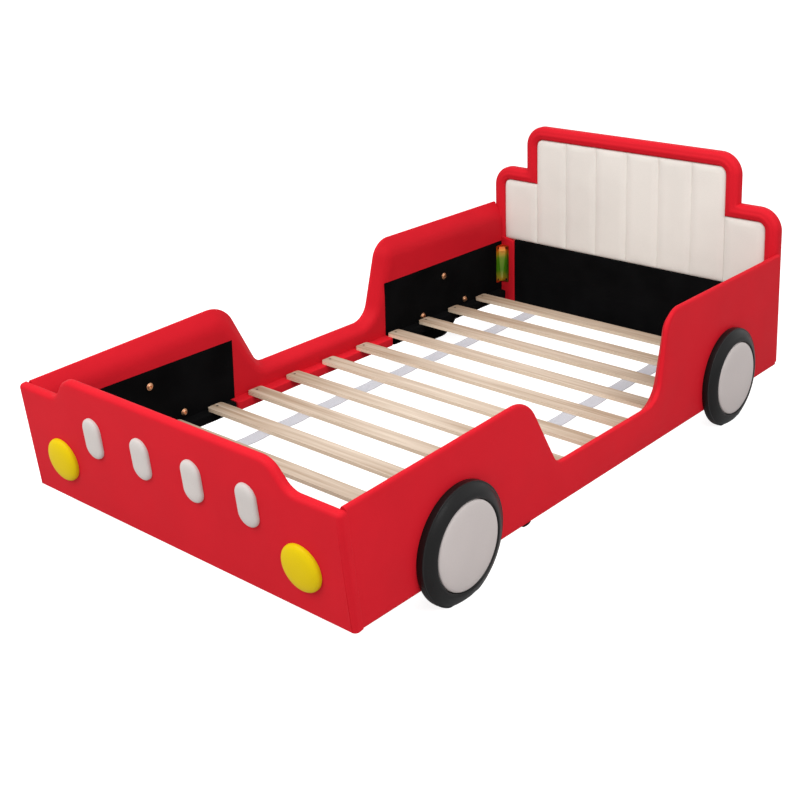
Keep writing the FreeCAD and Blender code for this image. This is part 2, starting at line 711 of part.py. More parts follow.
def bracket_screws(z_bottom, end_length):
    """Four screws of a right corner bracket: two out to the side, and two of a length at the end."""
    inset = 0.7 * BRACKET_FLANGE
    screws = []
    heights = (z_bottom + BRACKET_SCREW_MARGIN, z_bottom + BRACKET_HEIGHT - BRACKET_SCREW_MARGIN)
    for z in heights:
        toward_side = Vector(-BRACKET_SHEET, -inset, z)
        toward_end = Vector(-inset, -BRACKET_SHEET, z)
        screws.append(wood_screw(toward_side, (1, 0, 0), BRACKET_SCREW_LENGTH))
        screws.append(wood_screw(toward_end, (0, 1, 0), end_length))
    return screws


def at_rear_corner(shape):
    """Bracket shape moved to the corner of the right side panel and the headboard."""
    return shape.translated(Vector(side_inner, FRAME_LENGTH, 0))


def at_front_corner(shape):
    """Bracket shape turned round to the corner of the right side panel and the front board."""
    turned_round = shape.mirror(Vector(0, 0, 0), Vector(0, 1, 0))
    return leaned(turned_round.translated(Vector(side_inner, FRONT_THICKNESS, 0)))


# ---------------------------------------------------------------- the bed put together
pieces = {}
bolts, inserts, screws, brackets = [], [], [], []

right_bolt_rods = []
right_inserts = []
for wheel_y in (FRONT_WHEEL_Y, REAR_WHEEL_Y):
    for seat in wheel_bolt_seats(wheel_y):
        bolt, washer, insert = wheel_bolt(seat, (1, 0, 0))
        bolts += [bolt, washer, mirrored(bolt), mirrored(washer)]
        inserts += [insert, mirrored(insert)]
        right_bolt_rods.append(bolt)
        right_inserts.append(insert)

bracket_z = above_panel_bottom(BRACKET_BOTTOM)
right_bracket_screws = []
bracket_places = ((at_rear_corner, HEADBOARD_SCREW_LENGTH), (at_front_corner, BRACKET_SCREW_LENGTH))
for place, end_length in bracket_places:
    bracket = corner_bracket(bracket_z)
    for screw in bracket_screws(bracket_z, end_length):
        bracket = bracket.cut(screw)
        right_bracket_screws.append(place(screw))
    brackets += [place(bracket), mirrored(place(bracket))]
all_bracket_screws = right_bracket_screws + [mirrored(screw) for screw in right_bracket_screws]

ledges = ledge_spans()
ledge_screws = {}
for name, span in ledges.items():
    screw_z = above_panel_bottom(LEDGE_BOTTOM + LEDGE_HEIGHT / 2)
    length = span[1] - span[0]
    heads = [span[0] + length * share for share in (0.12, 0.88)]
    ledge_screws[name] = [wood_screw(Vector(ledge_inner, y, screw_z), (1, 0, 0), LEDGE_SCREW_LENGTH)
                          for y in heads]
all_ledge_screws = [screw for group in ledge_screws.values() for screw in group]

slat_starts = [FIRST_SLAT_Y + index * slat_pitch for index in range(SLAT_COUNT)]
slat_top = above_panel_bottom(ledge_top) + SLAT_THICKNESS
right_slat_screws = [wood_screw(Vector(slat_end - SLAT_SCREW_INSET, y + SLAT_WIDTH / 2, slat_top),
                                (0, 0, -1), SLAT_SCREW_LENGTH) for y in slat_starts]

# side panels, built on the right and mirrored to the left
core = side_core()
fixings_in_side = right_bolt_rods + right_bracket_screws + all_ledge_screws
cover = without(side_cover(), [core] + [lining(span, 0) for span in lining_spans().values()])
right_pieces = {
    "side_cover": without(cover, fixings_in_side),
    "side_core": without(core, fixings_in_side),
}
for name, span in lining_spans().items():
    right_pieces["side_lining_" + name] = without(lining(span, FIT_GAP), fixings_in_side)
for name, span in ledges.items():
    batten = without(ledge(span), ledge_screws[name] + right_slat_screws)
    right_pieces["ledge_" + name] = batten
for name, wheel_y in (("front", FRONT_WHEEL_Y), ("rear", REAR_WHEEL_Y)):
    board = without(wheel_board(wheel_y), right_bolt_rods + right_inserts)
    right_pieces["wheel_board_" + name] = board
    right_pieces["tyre_pad_" + name] = tyre_pad(wheel_y)
    right_pieces["hub_pad_" + name] = hub_pad(wheel_y)
for name, shape in right_pieces.items():
    pieces[name + "_right"] = shape
    pieces[name + "_left"] = mirrored(shape)

# front board
upright_core = front_core()
pieces["front_core"] = without(leaned(upright_core), all_bracket_screws)
upright_cover = without(front_cover(), [upright_core, front_lining(0)])
pieces["front_cover"] = without(leaned(upright_cover), all_bracket_screws)
pieces["front_lining"] = leaned(front_lining(FIT_GAP))
for index in range(GRILLE_COUNT):
    pad_x = (index - (GRILLE_COUNT - 1) / 2) * GRILLE_SPACING
    pieces["grille_pad_%d" % (index + 1)] = leaned(grille_pad(pad_x))
pieces["headlight_pad_right"] = leaned(headlight_pad(HEADLIGHT_X))
pieces["headlight_pad_left"] = leaned(headlight_pad(-HEADLIGHT_X))

# headboard
pieces["headboard_core"] = without(headboard_core(), all_bracket_screws)
pieces["headboard_cover"] = without(headboard_cover(), all_bracket_screws)
pieces["headboard_cushion"] = headboard_cushion()
pieces["headboard_lower_panel"] = lower_panel(FIT_GAP)
pieces["headboard_back"] = headboard_back()

# slats and straps
slat_screws = right_slat_screws + [mirrored(screw) for screw in right_slat_screws]
for index, y_start in enumerate(slat_starts):
    own_screws = [right_slat_screws[index], mirrored(right_slat_screws[index])]
    pieces["slat_%02d" % (index + 1)] = without(slat(y_start), own_screws)
pieces["straps"] = Part.makeCompound([strap(-STRAP_X), strap(STRAP_X)])

# fasteners, each kind as one group of separate solids
pieces["wheel_bolts"] = Part.makeCompound(bolts)
pieces["wheel_inserts"] = Part.makeCompound(inserts)
pieces["corner_brackets"] = Part.makeCompound(brackets)
ledge_screws_both = all_ledge_screws + [mirrored(screw) for screw in all_ledge_screws]
pieces["wood_screws"] = Part.makeCompound(slat_screws + ledge_screws_both + all_bracket_screws)

# the bottom centre of the whole bed becomes the origin
whole = Part.makeCompound(list(pieces.values())).optimalBoundingBox(False, False)
to_origin = Vector(-whole.Center.x, -whole.Center.y, -whole.ZMin)
for name, shape in pieces.items():
    placed = shape.translated(to_origin)
    if not placed.isValid():
        print("not valid:", name)
    placed.exportStep("parts/%s.step" % name)
print("pieces:", len(pieces), "solids:", sum(len(shape.Solids) for shape in pieces.values()))
print("size: %.1f x %.1f x %.1f" % (whole.XLength, whole.YLength, whole.ZLength))
print("moved by: %.3f, %.3f, %.3f" % (to_origin.x, to_origin.y, to_origin.z))
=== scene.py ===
import math

import bpy
import numpy as np
from mathutils import Matrix, Vector


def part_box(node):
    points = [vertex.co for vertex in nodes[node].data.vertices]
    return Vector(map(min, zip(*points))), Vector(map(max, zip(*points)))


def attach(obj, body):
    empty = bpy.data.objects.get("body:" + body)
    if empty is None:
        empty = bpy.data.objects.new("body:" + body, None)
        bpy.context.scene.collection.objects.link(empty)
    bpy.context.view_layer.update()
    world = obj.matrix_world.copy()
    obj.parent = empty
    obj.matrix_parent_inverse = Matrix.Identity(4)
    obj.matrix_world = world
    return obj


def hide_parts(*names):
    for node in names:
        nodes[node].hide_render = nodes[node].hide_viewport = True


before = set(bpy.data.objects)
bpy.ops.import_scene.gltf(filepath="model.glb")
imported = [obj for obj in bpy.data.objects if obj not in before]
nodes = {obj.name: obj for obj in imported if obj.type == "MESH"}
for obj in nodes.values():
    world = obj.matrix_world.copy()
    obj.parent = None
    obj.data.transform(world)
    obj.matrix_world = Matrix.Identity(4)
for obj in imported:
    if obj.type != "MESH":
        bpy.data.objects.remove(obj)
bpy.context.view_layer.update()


# ------------------------------------------------------------------ camera
# The photograph looks down on the bed from beyond its front right corner, as from a raised tripod.
# Place, aim and focal length were solved from the bed's corners, slat ends and wheels. The optical
# axis passes above the middle of the frame, which the shift gives, as in a photo with its upright
# lines made parallel.
CAMERA_PLACE = Vector((2.32036, -2.80953, 1.67151))
CAMERA_YAW = math.radians(41.226)          # to the left of +Y
CAMERA_PITCH = math.radians(14.401)        # downwards
CAMERA_ROLL = math.radians(-1.163)
FOCAL_LENGTH_MM = 60.390
SENSOR_MM = 36.0
AXIS_ABOVE_MIDDLE = 0.25                   # share of the frame's width

forward = Vector((-math.sin(CAMERA_YAW) * math.cos(CAMERA_PITCH),
                  math.cos(CAMERA_YAW) * math.cos(CAMERA_PITCH),
                  -math.sin(CAMERA_PITCH)))
level = Vector((math.cos(CAMERA_YAW), math.sin(CAMERA_YAW), 0))
upright = level.cross(forward)
to_right = math.cos(CAMERA_ROLL) * level + math.sin(CAMERA_ROLL) * upright
to_top = math.cos(CAMERA_ROLL) * upright - math.sin(CAMERA_ROLL) * level
camera = bpy.data.objects.new("camera", bpy.data.cameras.new("camera"))
turn = Matrix((to_right, to_top, -forward)).transposed().to_4x4()
camera.matrix_world = Matrix.Translation(CAMERA_PLACE) @ turn
camera.data.lens = FOCAL_LENGTH_MM
camera.data.sensor_width = SENSOR_MM
camera.data.shift_y = -AXIS_ABOVE_MIDDLE
bpy.context.scene.collection.objects.link(camera)
bpy.context.scene.camera = camera


# ------------------------------------------------------------------ studio
# A pale floor that reads white to the camera and keeps the bed's soft shadow, white surroundings,
# and three large soft lamps: high beyond the front left corner, high on the right, and overhead.
AROUND_STRENGTH = 0.60                     # of the white surroundings as a light
FLOOR_HALF = 40.0
FLOOR_TONE = 0.50
FLOOR_GLOW = 0.86                          # seen by the camera only

scene = bpy.context.scene
scene.view_settings.view_transform = "Standard"


def wire(tree, *links):
    """Joins sockets of a node tree, each link given as (from, its output, to, its input)."""
    for source, output, target, entry in links:
        tree.links.new(source.outputs[output], target.inputs[entry])


def set_inputs(node, values):
    """Gives inputs of a shader node their values, by name or number."""
    for socket, value in values.items():
        node.inputs[socket].default_value = value


def add_node(tree, kind, values=None, operation=None):
    """Adds a shader node of a kind, with its operation and the values of its inputs."""
    node = tree.nodes.new("ShaderNode" + kind)
    if operation:
        node.operation = operation
    set_inputs(node, values or {})
    return node


def add_maths(tree, operation, values=None):
    """Adds a node that does one sum."""
    return add_node(tree, "Math", values, operation)


def add_mix(tree, values):
    """Adds a node that mixes colour A with colour B."""
    node = add_node(tree, "Mix")
    node.data_type = "RGBA"
    set_inputs(node, values)
    return node


def new_finish(name, values):
    """Material with these values in its Principled shader: the material, its node tree and the shader."""
    finish = bpy.data.materials.new(name)
    finish.use_nodes = True
    shader = finish.node_tree.nodes["Principled BSDF"]
    set_inputs(shader, values)
    return finish, finish.node_tree, shader


world = bpy.data.worlds.new("surroundings")
world.use_nodes = True
scene.world = world
tree = world.node_tree
backdrop = tree.nodes["Background"]
set_inputs(backdrop, {"Color": (1, 1, 1, 1)})
ray = add_node(tree, "LightPath")
seen = add_maths(tree, "MAXIMUM")
seen_too = add_maths(tree, "MAXIMUM")
strength = add_maths(tree, "MULTIPLY_ADD", {1: 1 - AROUND_STRENGTH, 2: AROUND_STRENGTH})
wire(tree, (ray, "Is Camera Ray", seen, 0), (ray, "Is Glossy Ray", seen, 1), (seen, 0, seen_too, 0),
     (ray, "Is Transmission Ray", seen_too, 1), (seen_too, 0, strength, 0),
     (strength, 0, backdrop, "Strength"))

floor_mesh = bpy.data.meshes.new("floor")
floor_mesh.from_pydata([(-FLOOR_HALF, -FLOOR_HALF, 0), (FLOOR_HALF, -FLOOR_HALF, 0),
                        (FLOOR_HALF, FLOOR_HALF, 0), (-FLOOR_HALF, FLOOR_HALF, 0)],
                       [], [(0, 1, 2, 3)])
floor = bpy.data.objects.new("floor", floor_mesh)
scene.collection.objects.link(floor)
floor_finish, tree, paint = new_finish("floor", {
    "Base Color": (FLOOR_TONE, FLOOR_TONE, FLOOR_TONE, 1), "Roughness": 1.0,
    "Specular IOR Level": 0.0, "Emission Color": (1, 1, 1, 1)})
ray = add_node(tree, "LightPath")
glow = add_maths(tree, "MULTIPLY", {1: FLOOR_GLOW})
wire(tree, (ray, "Is Camera Ray", glow, 0), (glow, 0, paint, "Emission Strength"))
floor_mesh.materials.append(floor_finish)

LAMPS = {                                  # place, what it is aimed at, side in metres, watts
    "lamp_front": ((-1.6, -4.6, 4.4), (0.0, -0.2, 0.3), 3.2, 245.0),
    "lamp_side": ((3.8, -1.2, 3.6), (0.0, 0.1, 0.2), 3.0, 125.0),
    "lamp_over": ((0.4, 0.6, 4.4), (0.0, 0.1, 0.1), 3.6, 55.0),
}
for name, (place, target, side, watts) in LAMPS.items():
    lamp = bpy.data.objects.new(name, bpy.data.lights.new(name, "AREA"))
    lamp.data.size = side
    lamp.data.energy = watts
    lamp.location = place
    lamp.rotation_euler = (Vector(target) - Vector(place)).to_track_quat("-Z", "Y").to_euler()
    scene.collection.objects.link(lamp)


# ------------------------------------------------------------------ side panels
# Each is a board wrapped in foam and red leatherette, with a low cut-out to climb in by. The cover
# is drawn over the top edge in a soft roll, fuller outside than inside, and pulled under the foot.
FRONT_FOOT_Y = -0.97956                    # bottom edge of the front board
PANEL_FOOT_Z = 0.070                       # bottom edges of the panels
SIDE_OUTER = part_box("side_core_right")[1].x + 0.020
SIDE_THICK = 0.042
SIDE_TOP_LINE = [                          # (beyond the front foot, above the panel's foot, radius)
    (-0.0161, 0.302, 0), (0.638, 0.330, 0.105), (0.760, 0.112, 0.045), (1.249, 0.112, 0.065),
    (1.290, 0.368, 0.075), (1.976, 0.368, 0),
]
SIDE_SHIFTS = {                            # how far back each side's four middle corners lie
    "right": (-0.008, -0.003, 0.0, 0.0), "left": (0.012, 0.010, 0.012, 0.036),
}
SIDE_FOOT_LINE = (0.0252, 1.976)           # where the foot starts and ends
SIDE_OUTER_ROUND = 0.009
SIDE_SLOPE = math.radians(57)              # fall of the top edge towards the inside
SILL_TIGHTNESS = ((0.112, 0.300), (0.55, 1.0))     # the cover is drawn tighter over the low sill
SIDE_FOOT_ROUND = 0.004
SIDE_PUFF = 0.0016
RIPPLE = 0.0003                            # height of the slow waves of a padded face
RIPPLE_WAVES = ((17, 9), (29, -23))        # radians per metre, along the face and up it
RED = (0.590, 0.0122, 0.0222)
SHEEN_SPREAD = 0.12                        # range of roughness over a leatherette


def leatherette_grain():
    """Node group: pebbled skin with fine grain, slow unevenness of tone, and a slack, padded surface."""
    group = bpy.data.node_groups.new("leatherette_grain", "ShaderNodeTree")
    for label, kind, value in (("Colour", "NodeSocketColor", (0.5, 0.5, 0.5, 1)),
                               ("Pebbles", "NodeSocketFloat", 700.0),
                               ("Relief", "NodeSocketFloat", 0.0001),
                               ("Slack", "NodeSocketFloat", 0.001),
                               ("Roughness", "NodeSocketFloat", 0.45)):
        group.interface.new_socket(label, in_out="INPUT", socket_type=kind).default_value = value
    for label, kind in (("Colour", "NodeSocketColor"), ("Roughness", "NodeSocketFloat"),
                        ("Normal", "NodeSocketVector")):
        group.interface.new_socket(label, in_out="OUTPUT", socket_type=kind)
    given, result = group.nodes.new("NodeGroupInput"), group.nodes.new("NodeGroupOutput")
    place = add_node(group, "TexCoord")
    pebbles = add_node(group, "TexVoronoi")
    pebbles.feature = "SMOOTH_F1"
    grain = add_node(group, "TexNoise", {"Scale": 1500, "Detail": 2})
    slow = add_node(group, "TexNoise", {"Scale": 4.5, "Detail": 3})
    slack = add_node(group, "TexNoise", {"Scale": 11, "Detail": 1.5, "Distortion": 0.5})
    height = add_maths(group, "MULTIPLY_ADD", {1: 0.3})
    fine = add_node(group, "Bump")
    broad = add_node(group, "Bump", {"Strength": 1.0})
    tone = add_node(group, "MapRange", {"From Min": 0.3, "From Max": 0.7, "To Min": 0.95, "To Max": 1.04})
    pores = add_node(group, "MapRange", {"From Max": 0.7, "To Min": 1.02, "To Max": 0.94})
    shade = add_maths(group, "MULTIPLY")
    tint = add_node(group, "HueSaturation")
    sheen = add_maths(group, "MULTIPLY_ADD", {1: SHEEN_SPREAD})
    for texture in (pebbles, grain, slow, slack):
        wire(group, (place, "Object", texture, "Vector"))
    wire(group, (given, "Pebbles", pebbles, "Scale"), (grain, "Fac", height, 0),
         (pebbles, "Distance", height, 2), (height, 0, fine, "Height"),
         (given, "Relief", fine, "Distance"), (slack, "Fac", broad, "Height"),
         (given, "Slack", broad, "Distance"), (fine, "Normal", broad, "Normal"),
         (broad, "Normal", result, "Normal"), (slow, "Fac", tone, "Value"),
         (pebbles, "Distance", pores, "Value"), (tone, 0, shade, 0), (pores, 0, shade, 1),
         (shade, 0, tint, "Value"), (given, "Colour", tint, "Color"), (tint, "Color", result, "Colour"),
         (slow, "Fac", sheen, 0), (given, "Roughness", sheen, 2), (sheen, 0, result, "Roughness"))
    return group


GRAIN = leatherette_grain()


def leatherette(name, colour, roughness=0.42, slack=0.0012, relief=0.00010, pebbles=700.0, gloss=0.35):
    """Leatherette of one colour, with its own roughness, slackness and grain."""
    finish, tree, skin_shader = new_finish(name, {"Specular IOR Level": gloss})
    grain = add_node(tree, "Group")
    grain.node_tree = GRAIN
    set_inputs(grain, {"Colour": (*colour, 1), "Pebbles": pebbles, "Relief": relief, "Slack": slack,
                       "Roughness": roughness - SHEEN_SPREAD / 2})
    wire(tree, (grain, "Colour", skin_shader, "Base Color"),
         (grain, "Roughness", skin_shader, "Roughness"), (grain, "Normal", skin_shader, "Normal"))
    return finish


def rounded_line(corners, step, arc_step):
    """Places along straight runs joined by arcs, and at each the direction to its right hand.

    An arc of radius r touches its runs r times the tangent of half the turn from the corner. At a
    corner with no arc the direction is the mitre: both runs' directions added, over one plus their
    dot product, so that a step along it keeps its distance from both runs.
    """
    points = [np.array(corner[:2], float) for corner in corners]
    places, directions = [], []
    start, sharp = points[0], False
    for index in range(1, len(points)):
        corner = points[index]
        radius = corners[index][2] if index + 1 < len(points) else 0
        way = (corner - points[index - 1]) / np.linalg.norm(corner - points[index - 1])
        right = np.array([way[1], -way[0]])
        if index + 1 < len(points):
            onward = (points[index + 1] - corner) / np.linalg.norm(points[index + 1] - corner)
            bend = math.atan2(way[0] * onward[1] - way[1] * onward[0], way @ onward)
        else:
            onward, bend = way, 0.0
        touch = radius * math.tan(abs(bend) / 2)
        end = corner - way * touch
        count = max(2, math.ceil(np.linalg.norm(end - start) / step)) + 1
        share = np.linspace(0, 1, count)[(1 if sharp else 0):-1, None]
        places.append(start + (end - start) * share)
        directions.append(np.repeat(right[None], len(share), 0))
        sharp = radius == 0
        if sharp:
            onward_right = np.array([onward[1], -onward[0]])
            places.append(corner[None])
            directions.append(((right + onward_right) / (1 + right @ onward_right))[None])
            start = corner
            continue
        side = math.copysign(1.0, bend)
        centre = end - side * right * radius
        angle = np.linspace(0, bend, max(4, math.ceil(radius * abs(bend) / arc_step)) + 1)[:-1]
        cosine, sine = np.cos(angle)[:, None], np.sin(angle)[:, None]
        turned_right = right * cosine + np.array([-right[1], right[0]]) * sine
        places.append(centre + side * turned_right * radius)
        directions.append(turned_right)
        start = corner + onward * touch
    return np.concatenate(places), np.concatenate(directions)


def whole_line(right_half):
    """Corners of a symmetric outline, from the left foot over the top to the right foot."""
    return [(-x, height, radius) for x, height, radius in right_half] + right_half[::-1]


def skin(name, grid, round_rows=True, round_columns=False, ends=True):
    """Object with one quad between each four neighbours of a grid of points, and flat ends.

    Row i is one loop round the piece; point (i, j) joins to (i + 1, j), (i + 1, j + 1), (i, j + 1).
    The enclosed volume is a sixth of the sum of each triangle's triple product, and where that is
    negative the faces are turned outwards.
    """
    rows, columns = grid.shape[:2]
    i = np.arange(rows if round_columns else rows - 1)[:, None]
    j = np.arange(columns if round_rows else columns - 1)[None]
    next_i, next_j = (i + 1) % rows, (j + 1) % columns
    quads = np.stack(np.broadcast_arrays(i * columns + j, next_i * columns + j,
                                         next_i * columns + next_j, i * columns + next_j), -1)
    quads = quads.reshape(-1, 4)
    points = grid.reshape(-1, 3)
    a, b, c, d = (points[quads[:, k]] for k in range(4))
    volume = np.sum(a * np.cross(b, c)) + np.sum(a * np.cross(c, d))
    faces = quads.tolist()
    if ends and not round_columns:
        faces.append(list(range(columns)))
        faces.append(list(range(rows * columns - 1, (rows - 1) * columns - 1, -1)))
    mesh = bpy.data.meshes.new(name)
    mesh.from_pydata(points.tolist(), [], faces)
    if volume < 0:
        mesh.flip_normals()
    mesh.shade_smooth()
    mesh.set_sharp_from_angle(angle=math.radians(48))
    mesh.update()
    piece = bpy.data.objects.new(name, mesh)
    scene.collection.objects.link(piece)
    return piece


def dress(piece, finish, stands_for=()):
    """Gives a piece its finish, rides it on the bed, and hides the nodes it stands for."""
    piece.data.materials.append(finish)
    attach(piece, "root")
    if stands_for:
        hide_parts(*stands_for)
    return piece


def arc_rows(inset_round, depth_start, way_down):
    """Insets and depths round a quarter of an edge: r (1 - sine) and r (1 - cosine) of the angle."""
    angle = np.linspace(0, math.pi / 2, 8)
    inset, depth = inset_round * (1 - np.sin(angle)), inset_round * (1 - np.cos(angle))
    if way_down:
        inset, depth = inset[::-1], inset_round - depth[::-1]
    return inset, depth_start + depth


def falling_edge(start, thick, slope, small, large):
    """Insets and depths of an edge that falls to the inner face: an arc of the small radius through the
    slope's angle, a straight slant, and an arc of the large radius on to the face.
    """
    first, last = np.linspace(0, slope, 5), np.linspace(slope, math.pi / 2, 8)
    slant = thick - large * (1 - math.sin(slope)) - start - small * math.sin(slope)
    drop = small * (1 - math.cos(slope)) + slant * math.tan(slope)
    inset = np.concatenate([small * (1 - np.cos(first)), drop + large * (math.cos(slope) - np.cos(last))])
    depth = np.concatenate([start + small * np.sin(first), thick - large * (1 - np.sin(last))])
    return inset, depth


def padded_board(line, inward, foot, thick, outer_round, inner_edge, foot_round, puff):
    """Loops round a padded board: outer face, rolled edge, inner face and foot.

    A face point is the foot's place plus a share of the way to the edge drawn in by its rounding.
    The outer face swells by the puff times the sine of pi times the share, and ripples by two slow
    waves. The inner face stays flat.
    Gives places in the board's plane and depths below its outer face.
    """
    up = np.linspace(0, 1, 24)
    over, over_depth = arc_rows(outer_round, 0.0, False)
    back, back_depth = inner_edge
    under = np.linspace(0, math.pi / 2, 5)
    rows = [
        (up, outer_round, 0.0, foot_round),
        (1.0, over[1:], over_depth[1:], 0.0),
        (1.0, back, back_depth, 0.0),
        (up[::-1][1:], back[-1], thick, foot_round),
        (0.0, 0.0, thick - foot_round * (1 - np.cos(under[1:])), foot_round * (1 - np.sin(under[1:]))),
        (0.0, 0.0, foot_round * (1 - np.sin(under[:-1])), foot_round * (1 - np.cos(under[:-1]))),
    ]
    columns = [np.broadcast_arrays(*[np.atleast_1d(value) for value in row]) for row in rows]
    share, inset, depth, lift = (np.concatenate([column[k] for column in columns]) for k in range(4))
    if foot_round == 0:                    # a sharp foot needs no loops for its rounding
        whole = len(share) - 2 * (len(under) - 1)
        share, inset, depth, lift = share[:whole], inset[:whole], depth[:whole], lift[:whole]
    raised = foot[:, None] + np.array([0.0, 1.0]) * lift[None, :, None]
    edge = line[:, None] + inward[:, None] * inset[None, :, None]
    plane = raised + (edge - raised) * share[None, :, None]
    swell = np.sin(math.pi * share)[None]
    ripple = sum(np.sin(a * plane[..., 0] + b * plane[..., 1]) for a, b in RIPPLE_WAVES)
    outer = (depth < thick / 2)[None]
    depths = depth[None] - outer * swell * (puff + RIPPLE * ripple)
    return plane, depths


red = leatherette("red_leatherette", RED, slack=0.0007, gloss=0.03)
inner_edge = falling_edge(SIDE_OUTER_ROUND + 0.001, SIDE_THICK, SIDE_SLOPE, small=0.004, large=0.080)
for name, side in (("right", 1), ("left", -1)):
    shifts = (0.0, *SIDE_SHIFTS[name], 0.0)
    top_line = [(y + shift, *rest) for (y, *rest), shift in zip(SIDE_TOP_LINE, shifts)]
    line, inward = rounded_line(top_line, step=0.016, arc_step=0.005)
    along = (line[:, 0] - line[0, 0]) / (line[-1, 0] - line[0, 0])
    foot = np.stack([SIDE_FOOT_LINE[0] + along * (SIDE_FOOT_LINE[1] - SIDE_FOOT_LINE[0]), 0 * along], -1)
    tight = np.interp(line[:, 1], *SILL_TIGHTNESS)[:, None]
    plane, depths = padded_board(line, inward * tight, foot, SIDE_THICK, SIDE_OUTER_ROUND, inner_edge,
                                 SIDE_FOOT_ROUND, SIDE_PUFF)
    grid = np.stack([side * (SIDE_OUTER - depths), FRONT_FOOT_Y + plane[..., 0],
                     PANEL_FOOT_Z + plane[..., 1]], -1)
    cover = skin("side_panel_" + name, grid)
    dress(cover, red, ("side_cover_" + name, "side_core_" + name))


# ------------------------------------------------------------------ front board
# The bonnet: a board in the same red cover, leaning forwards, with low shoulders and a raised
# middle. Its cover is rolled over the top and both ends, where it hides the side panels' ends.
RAKE = math.radians(7.8)
FRONT_THICK = 0.025
FRONT_HALF = 0.569
FRONT_SHOULDER = 0.297
FRONT_TOP = 0.362
FRONT_OUTER_ROUND = 0.012
FRONT_INNER_ROUND = 0.007
FRONT_SEAM_ROUND = 0.0030                  # where it meets a side panel
FRONT_PUFF = 0.0016
FRONT_LEFT_REACH = 1.020                   # its left half is this much fuller
FRONT_FOOT_DRAWN = 0.008                   # the foot's places draw in this much below the top edge


def on_front_board(x, height, depth):
    """Places on the leaning board, from x, the height up its slope and the depth behind its face."""
    y = FRONT_FOOT_Y + depth * math.cos(RAKE) - height * math.sin(RAKE)
    z = PANEL_FOOT_Z + depth * math.sin(RAKE) + height * math.cos(RAKE)
    return np.stack(np.broadcast_arrays(x, y, z), -1)


front_line = whole_line([(FRONT_HALF, 0, 0), (FRONT_HALF, FRONT_SHOULDER, 0.012),
                         (0.414, FRONT_SHOULDER, 0.050), (0.364, FRONT_TOP, 0.062)])
line, inward = rounded_line(front_line, step=0.016, arc_step=0.0045)
flat_half = FRONT_HALF - FRONT_OUTER_ROUND
spread = flat_half * np.clip(line[:, 0] / flat_half, -1, 1)
above_foot = 1 - np.abs(line[:, 1] / FRONT_SHOULDER - 1).clip(0, 1)
foot = np.stack([spread * (1 - FRONT_FOOT_DRAWN * above_foot), 0 * spread], -1)
soft, crisp = (padded_board(line, inward, foot, FRONT_THICK, FRONT_OUTER_ROUND,
                            arc_rows(inner_round, FRONT_THICK - inner_round, True), 0, FRONT_PUFF)
               for inner_round in (FRONT_INNER_ROUND, FRONT_SEAM_ROUND))
at_end = ((np.abs(line[:, 0]) - FRONT_HALF) / FRONT_OUTER_ROUND + 1).clip(0, 1)
plane = soft[0] + (crisp[0] - soft[0]) * at_end[:, None, None]
depths = soft[1] + (crisp[1] - soft[1]) * at_end[:, None]
reach = np.where(plane[..., 0] < 0, FRONT_LEFT_REACH, 1.0)
cover = skin("front_board", on_front_board(plane[..., 0] * reach, plane[..., 1], depths))
dress(cover, red, ("front_cover",))


# ------------------------------------------------------------------ grille and lamp pads
# Four upright pale pads make the grille and two round yellow ones the lamps. Each is foam under
# leatherette on a small board, stapled to the front board before its cover goes on.
GRILLE_X = (-0.2735, -0.0885, 0.0965, 0.2815)
GRILLE_HEIGHT = 0.2265
GRILLE_HALF_WIDTH = 0.0325
GRILLE_STRAIGHT = 0.046
GRILLE_BULGE = 0.013
LAMP_X = 0.430
LAMP_HEIGHT = 0.119
LAMP_RADIUS = 0.0588
LAMP_BULGE = 0.019
DOME_END = 0.985                           # of the quarter turn, where a small flat closes a dome
PALE = (0.590, 0.550, 0.525)
YELLOW = (0.705, 0.515, 0.003)


def domed_pad(radius, straight, bulge, fullness, wall, stations=96):
    """Loops of a pad round a straight of that length: insets r (1 - cos^(2/n)) and heights h sin^(2/n).

    The power n is the fullness: 2 is an ellipse and more is squarer. A wall stands under the dome.
    """
    turn = np.linspace(0, 2 * math.pi, stations, endpoint=False)
    rise = np.linspace(0, DOME_END * math.pi / 2, 18)
    inset = radius * (1 - np.cos(rise) ** (2 / fullness))
    height = wall + (bulge - wall) * np.sin(rise) ** (2 / fullness)
    inset = np.concatenate([[0.0, 0.0], inset])
    height = np.concatenate([[-0.002, 0.4 * wall], height])
    reach = (radius - inset)[:, None]
    a = reach * np.cos(turn)[None]
    b = reach * np.sin(turn)[None] + np.where(np.sin(turn) >= 0, 0.5, -0.5)[None] * straight
    return a, b, np.repeat(height[:, None], stations, 1)


pale = leatherette("pale_leatherette", PALE, roughness=0.45, slack=0.0006, gloss=0.15)
yellow = leatherette("yellow_leatherette", YELLOW, roughness=0.42, slack=0.0006, gloss=0.06)
for index, x in enumerate(GRILLE_X):
    a, b, height = domed_pad(GRILLE_HALF_WIDTH, GRILLE_STRAIGHT, GRILLE_BULGE, fullness=2.8, wall=0.002)
    pad = skin("grille_%d" % (index + 1), on_front_board(x + a, GRILLE_HEIGHT + b, -height))
    dress(pad, pale, ("grille_pad_%d" % (index + 1),))
for name, side in (("left", -1), ("right", 1)):
    a, b, height = domed_pad(LAMP_RADIUS, 0.0, LAMP_BULGE, fullness=2.6, wall=0.003)
    pad = skin("lamp_" + name, on_front_board(side * LAMP_X + a, LAMP_HEIGHT + b, -height))
    dress(pad, yellow, ("headlight_pad_" + name,))


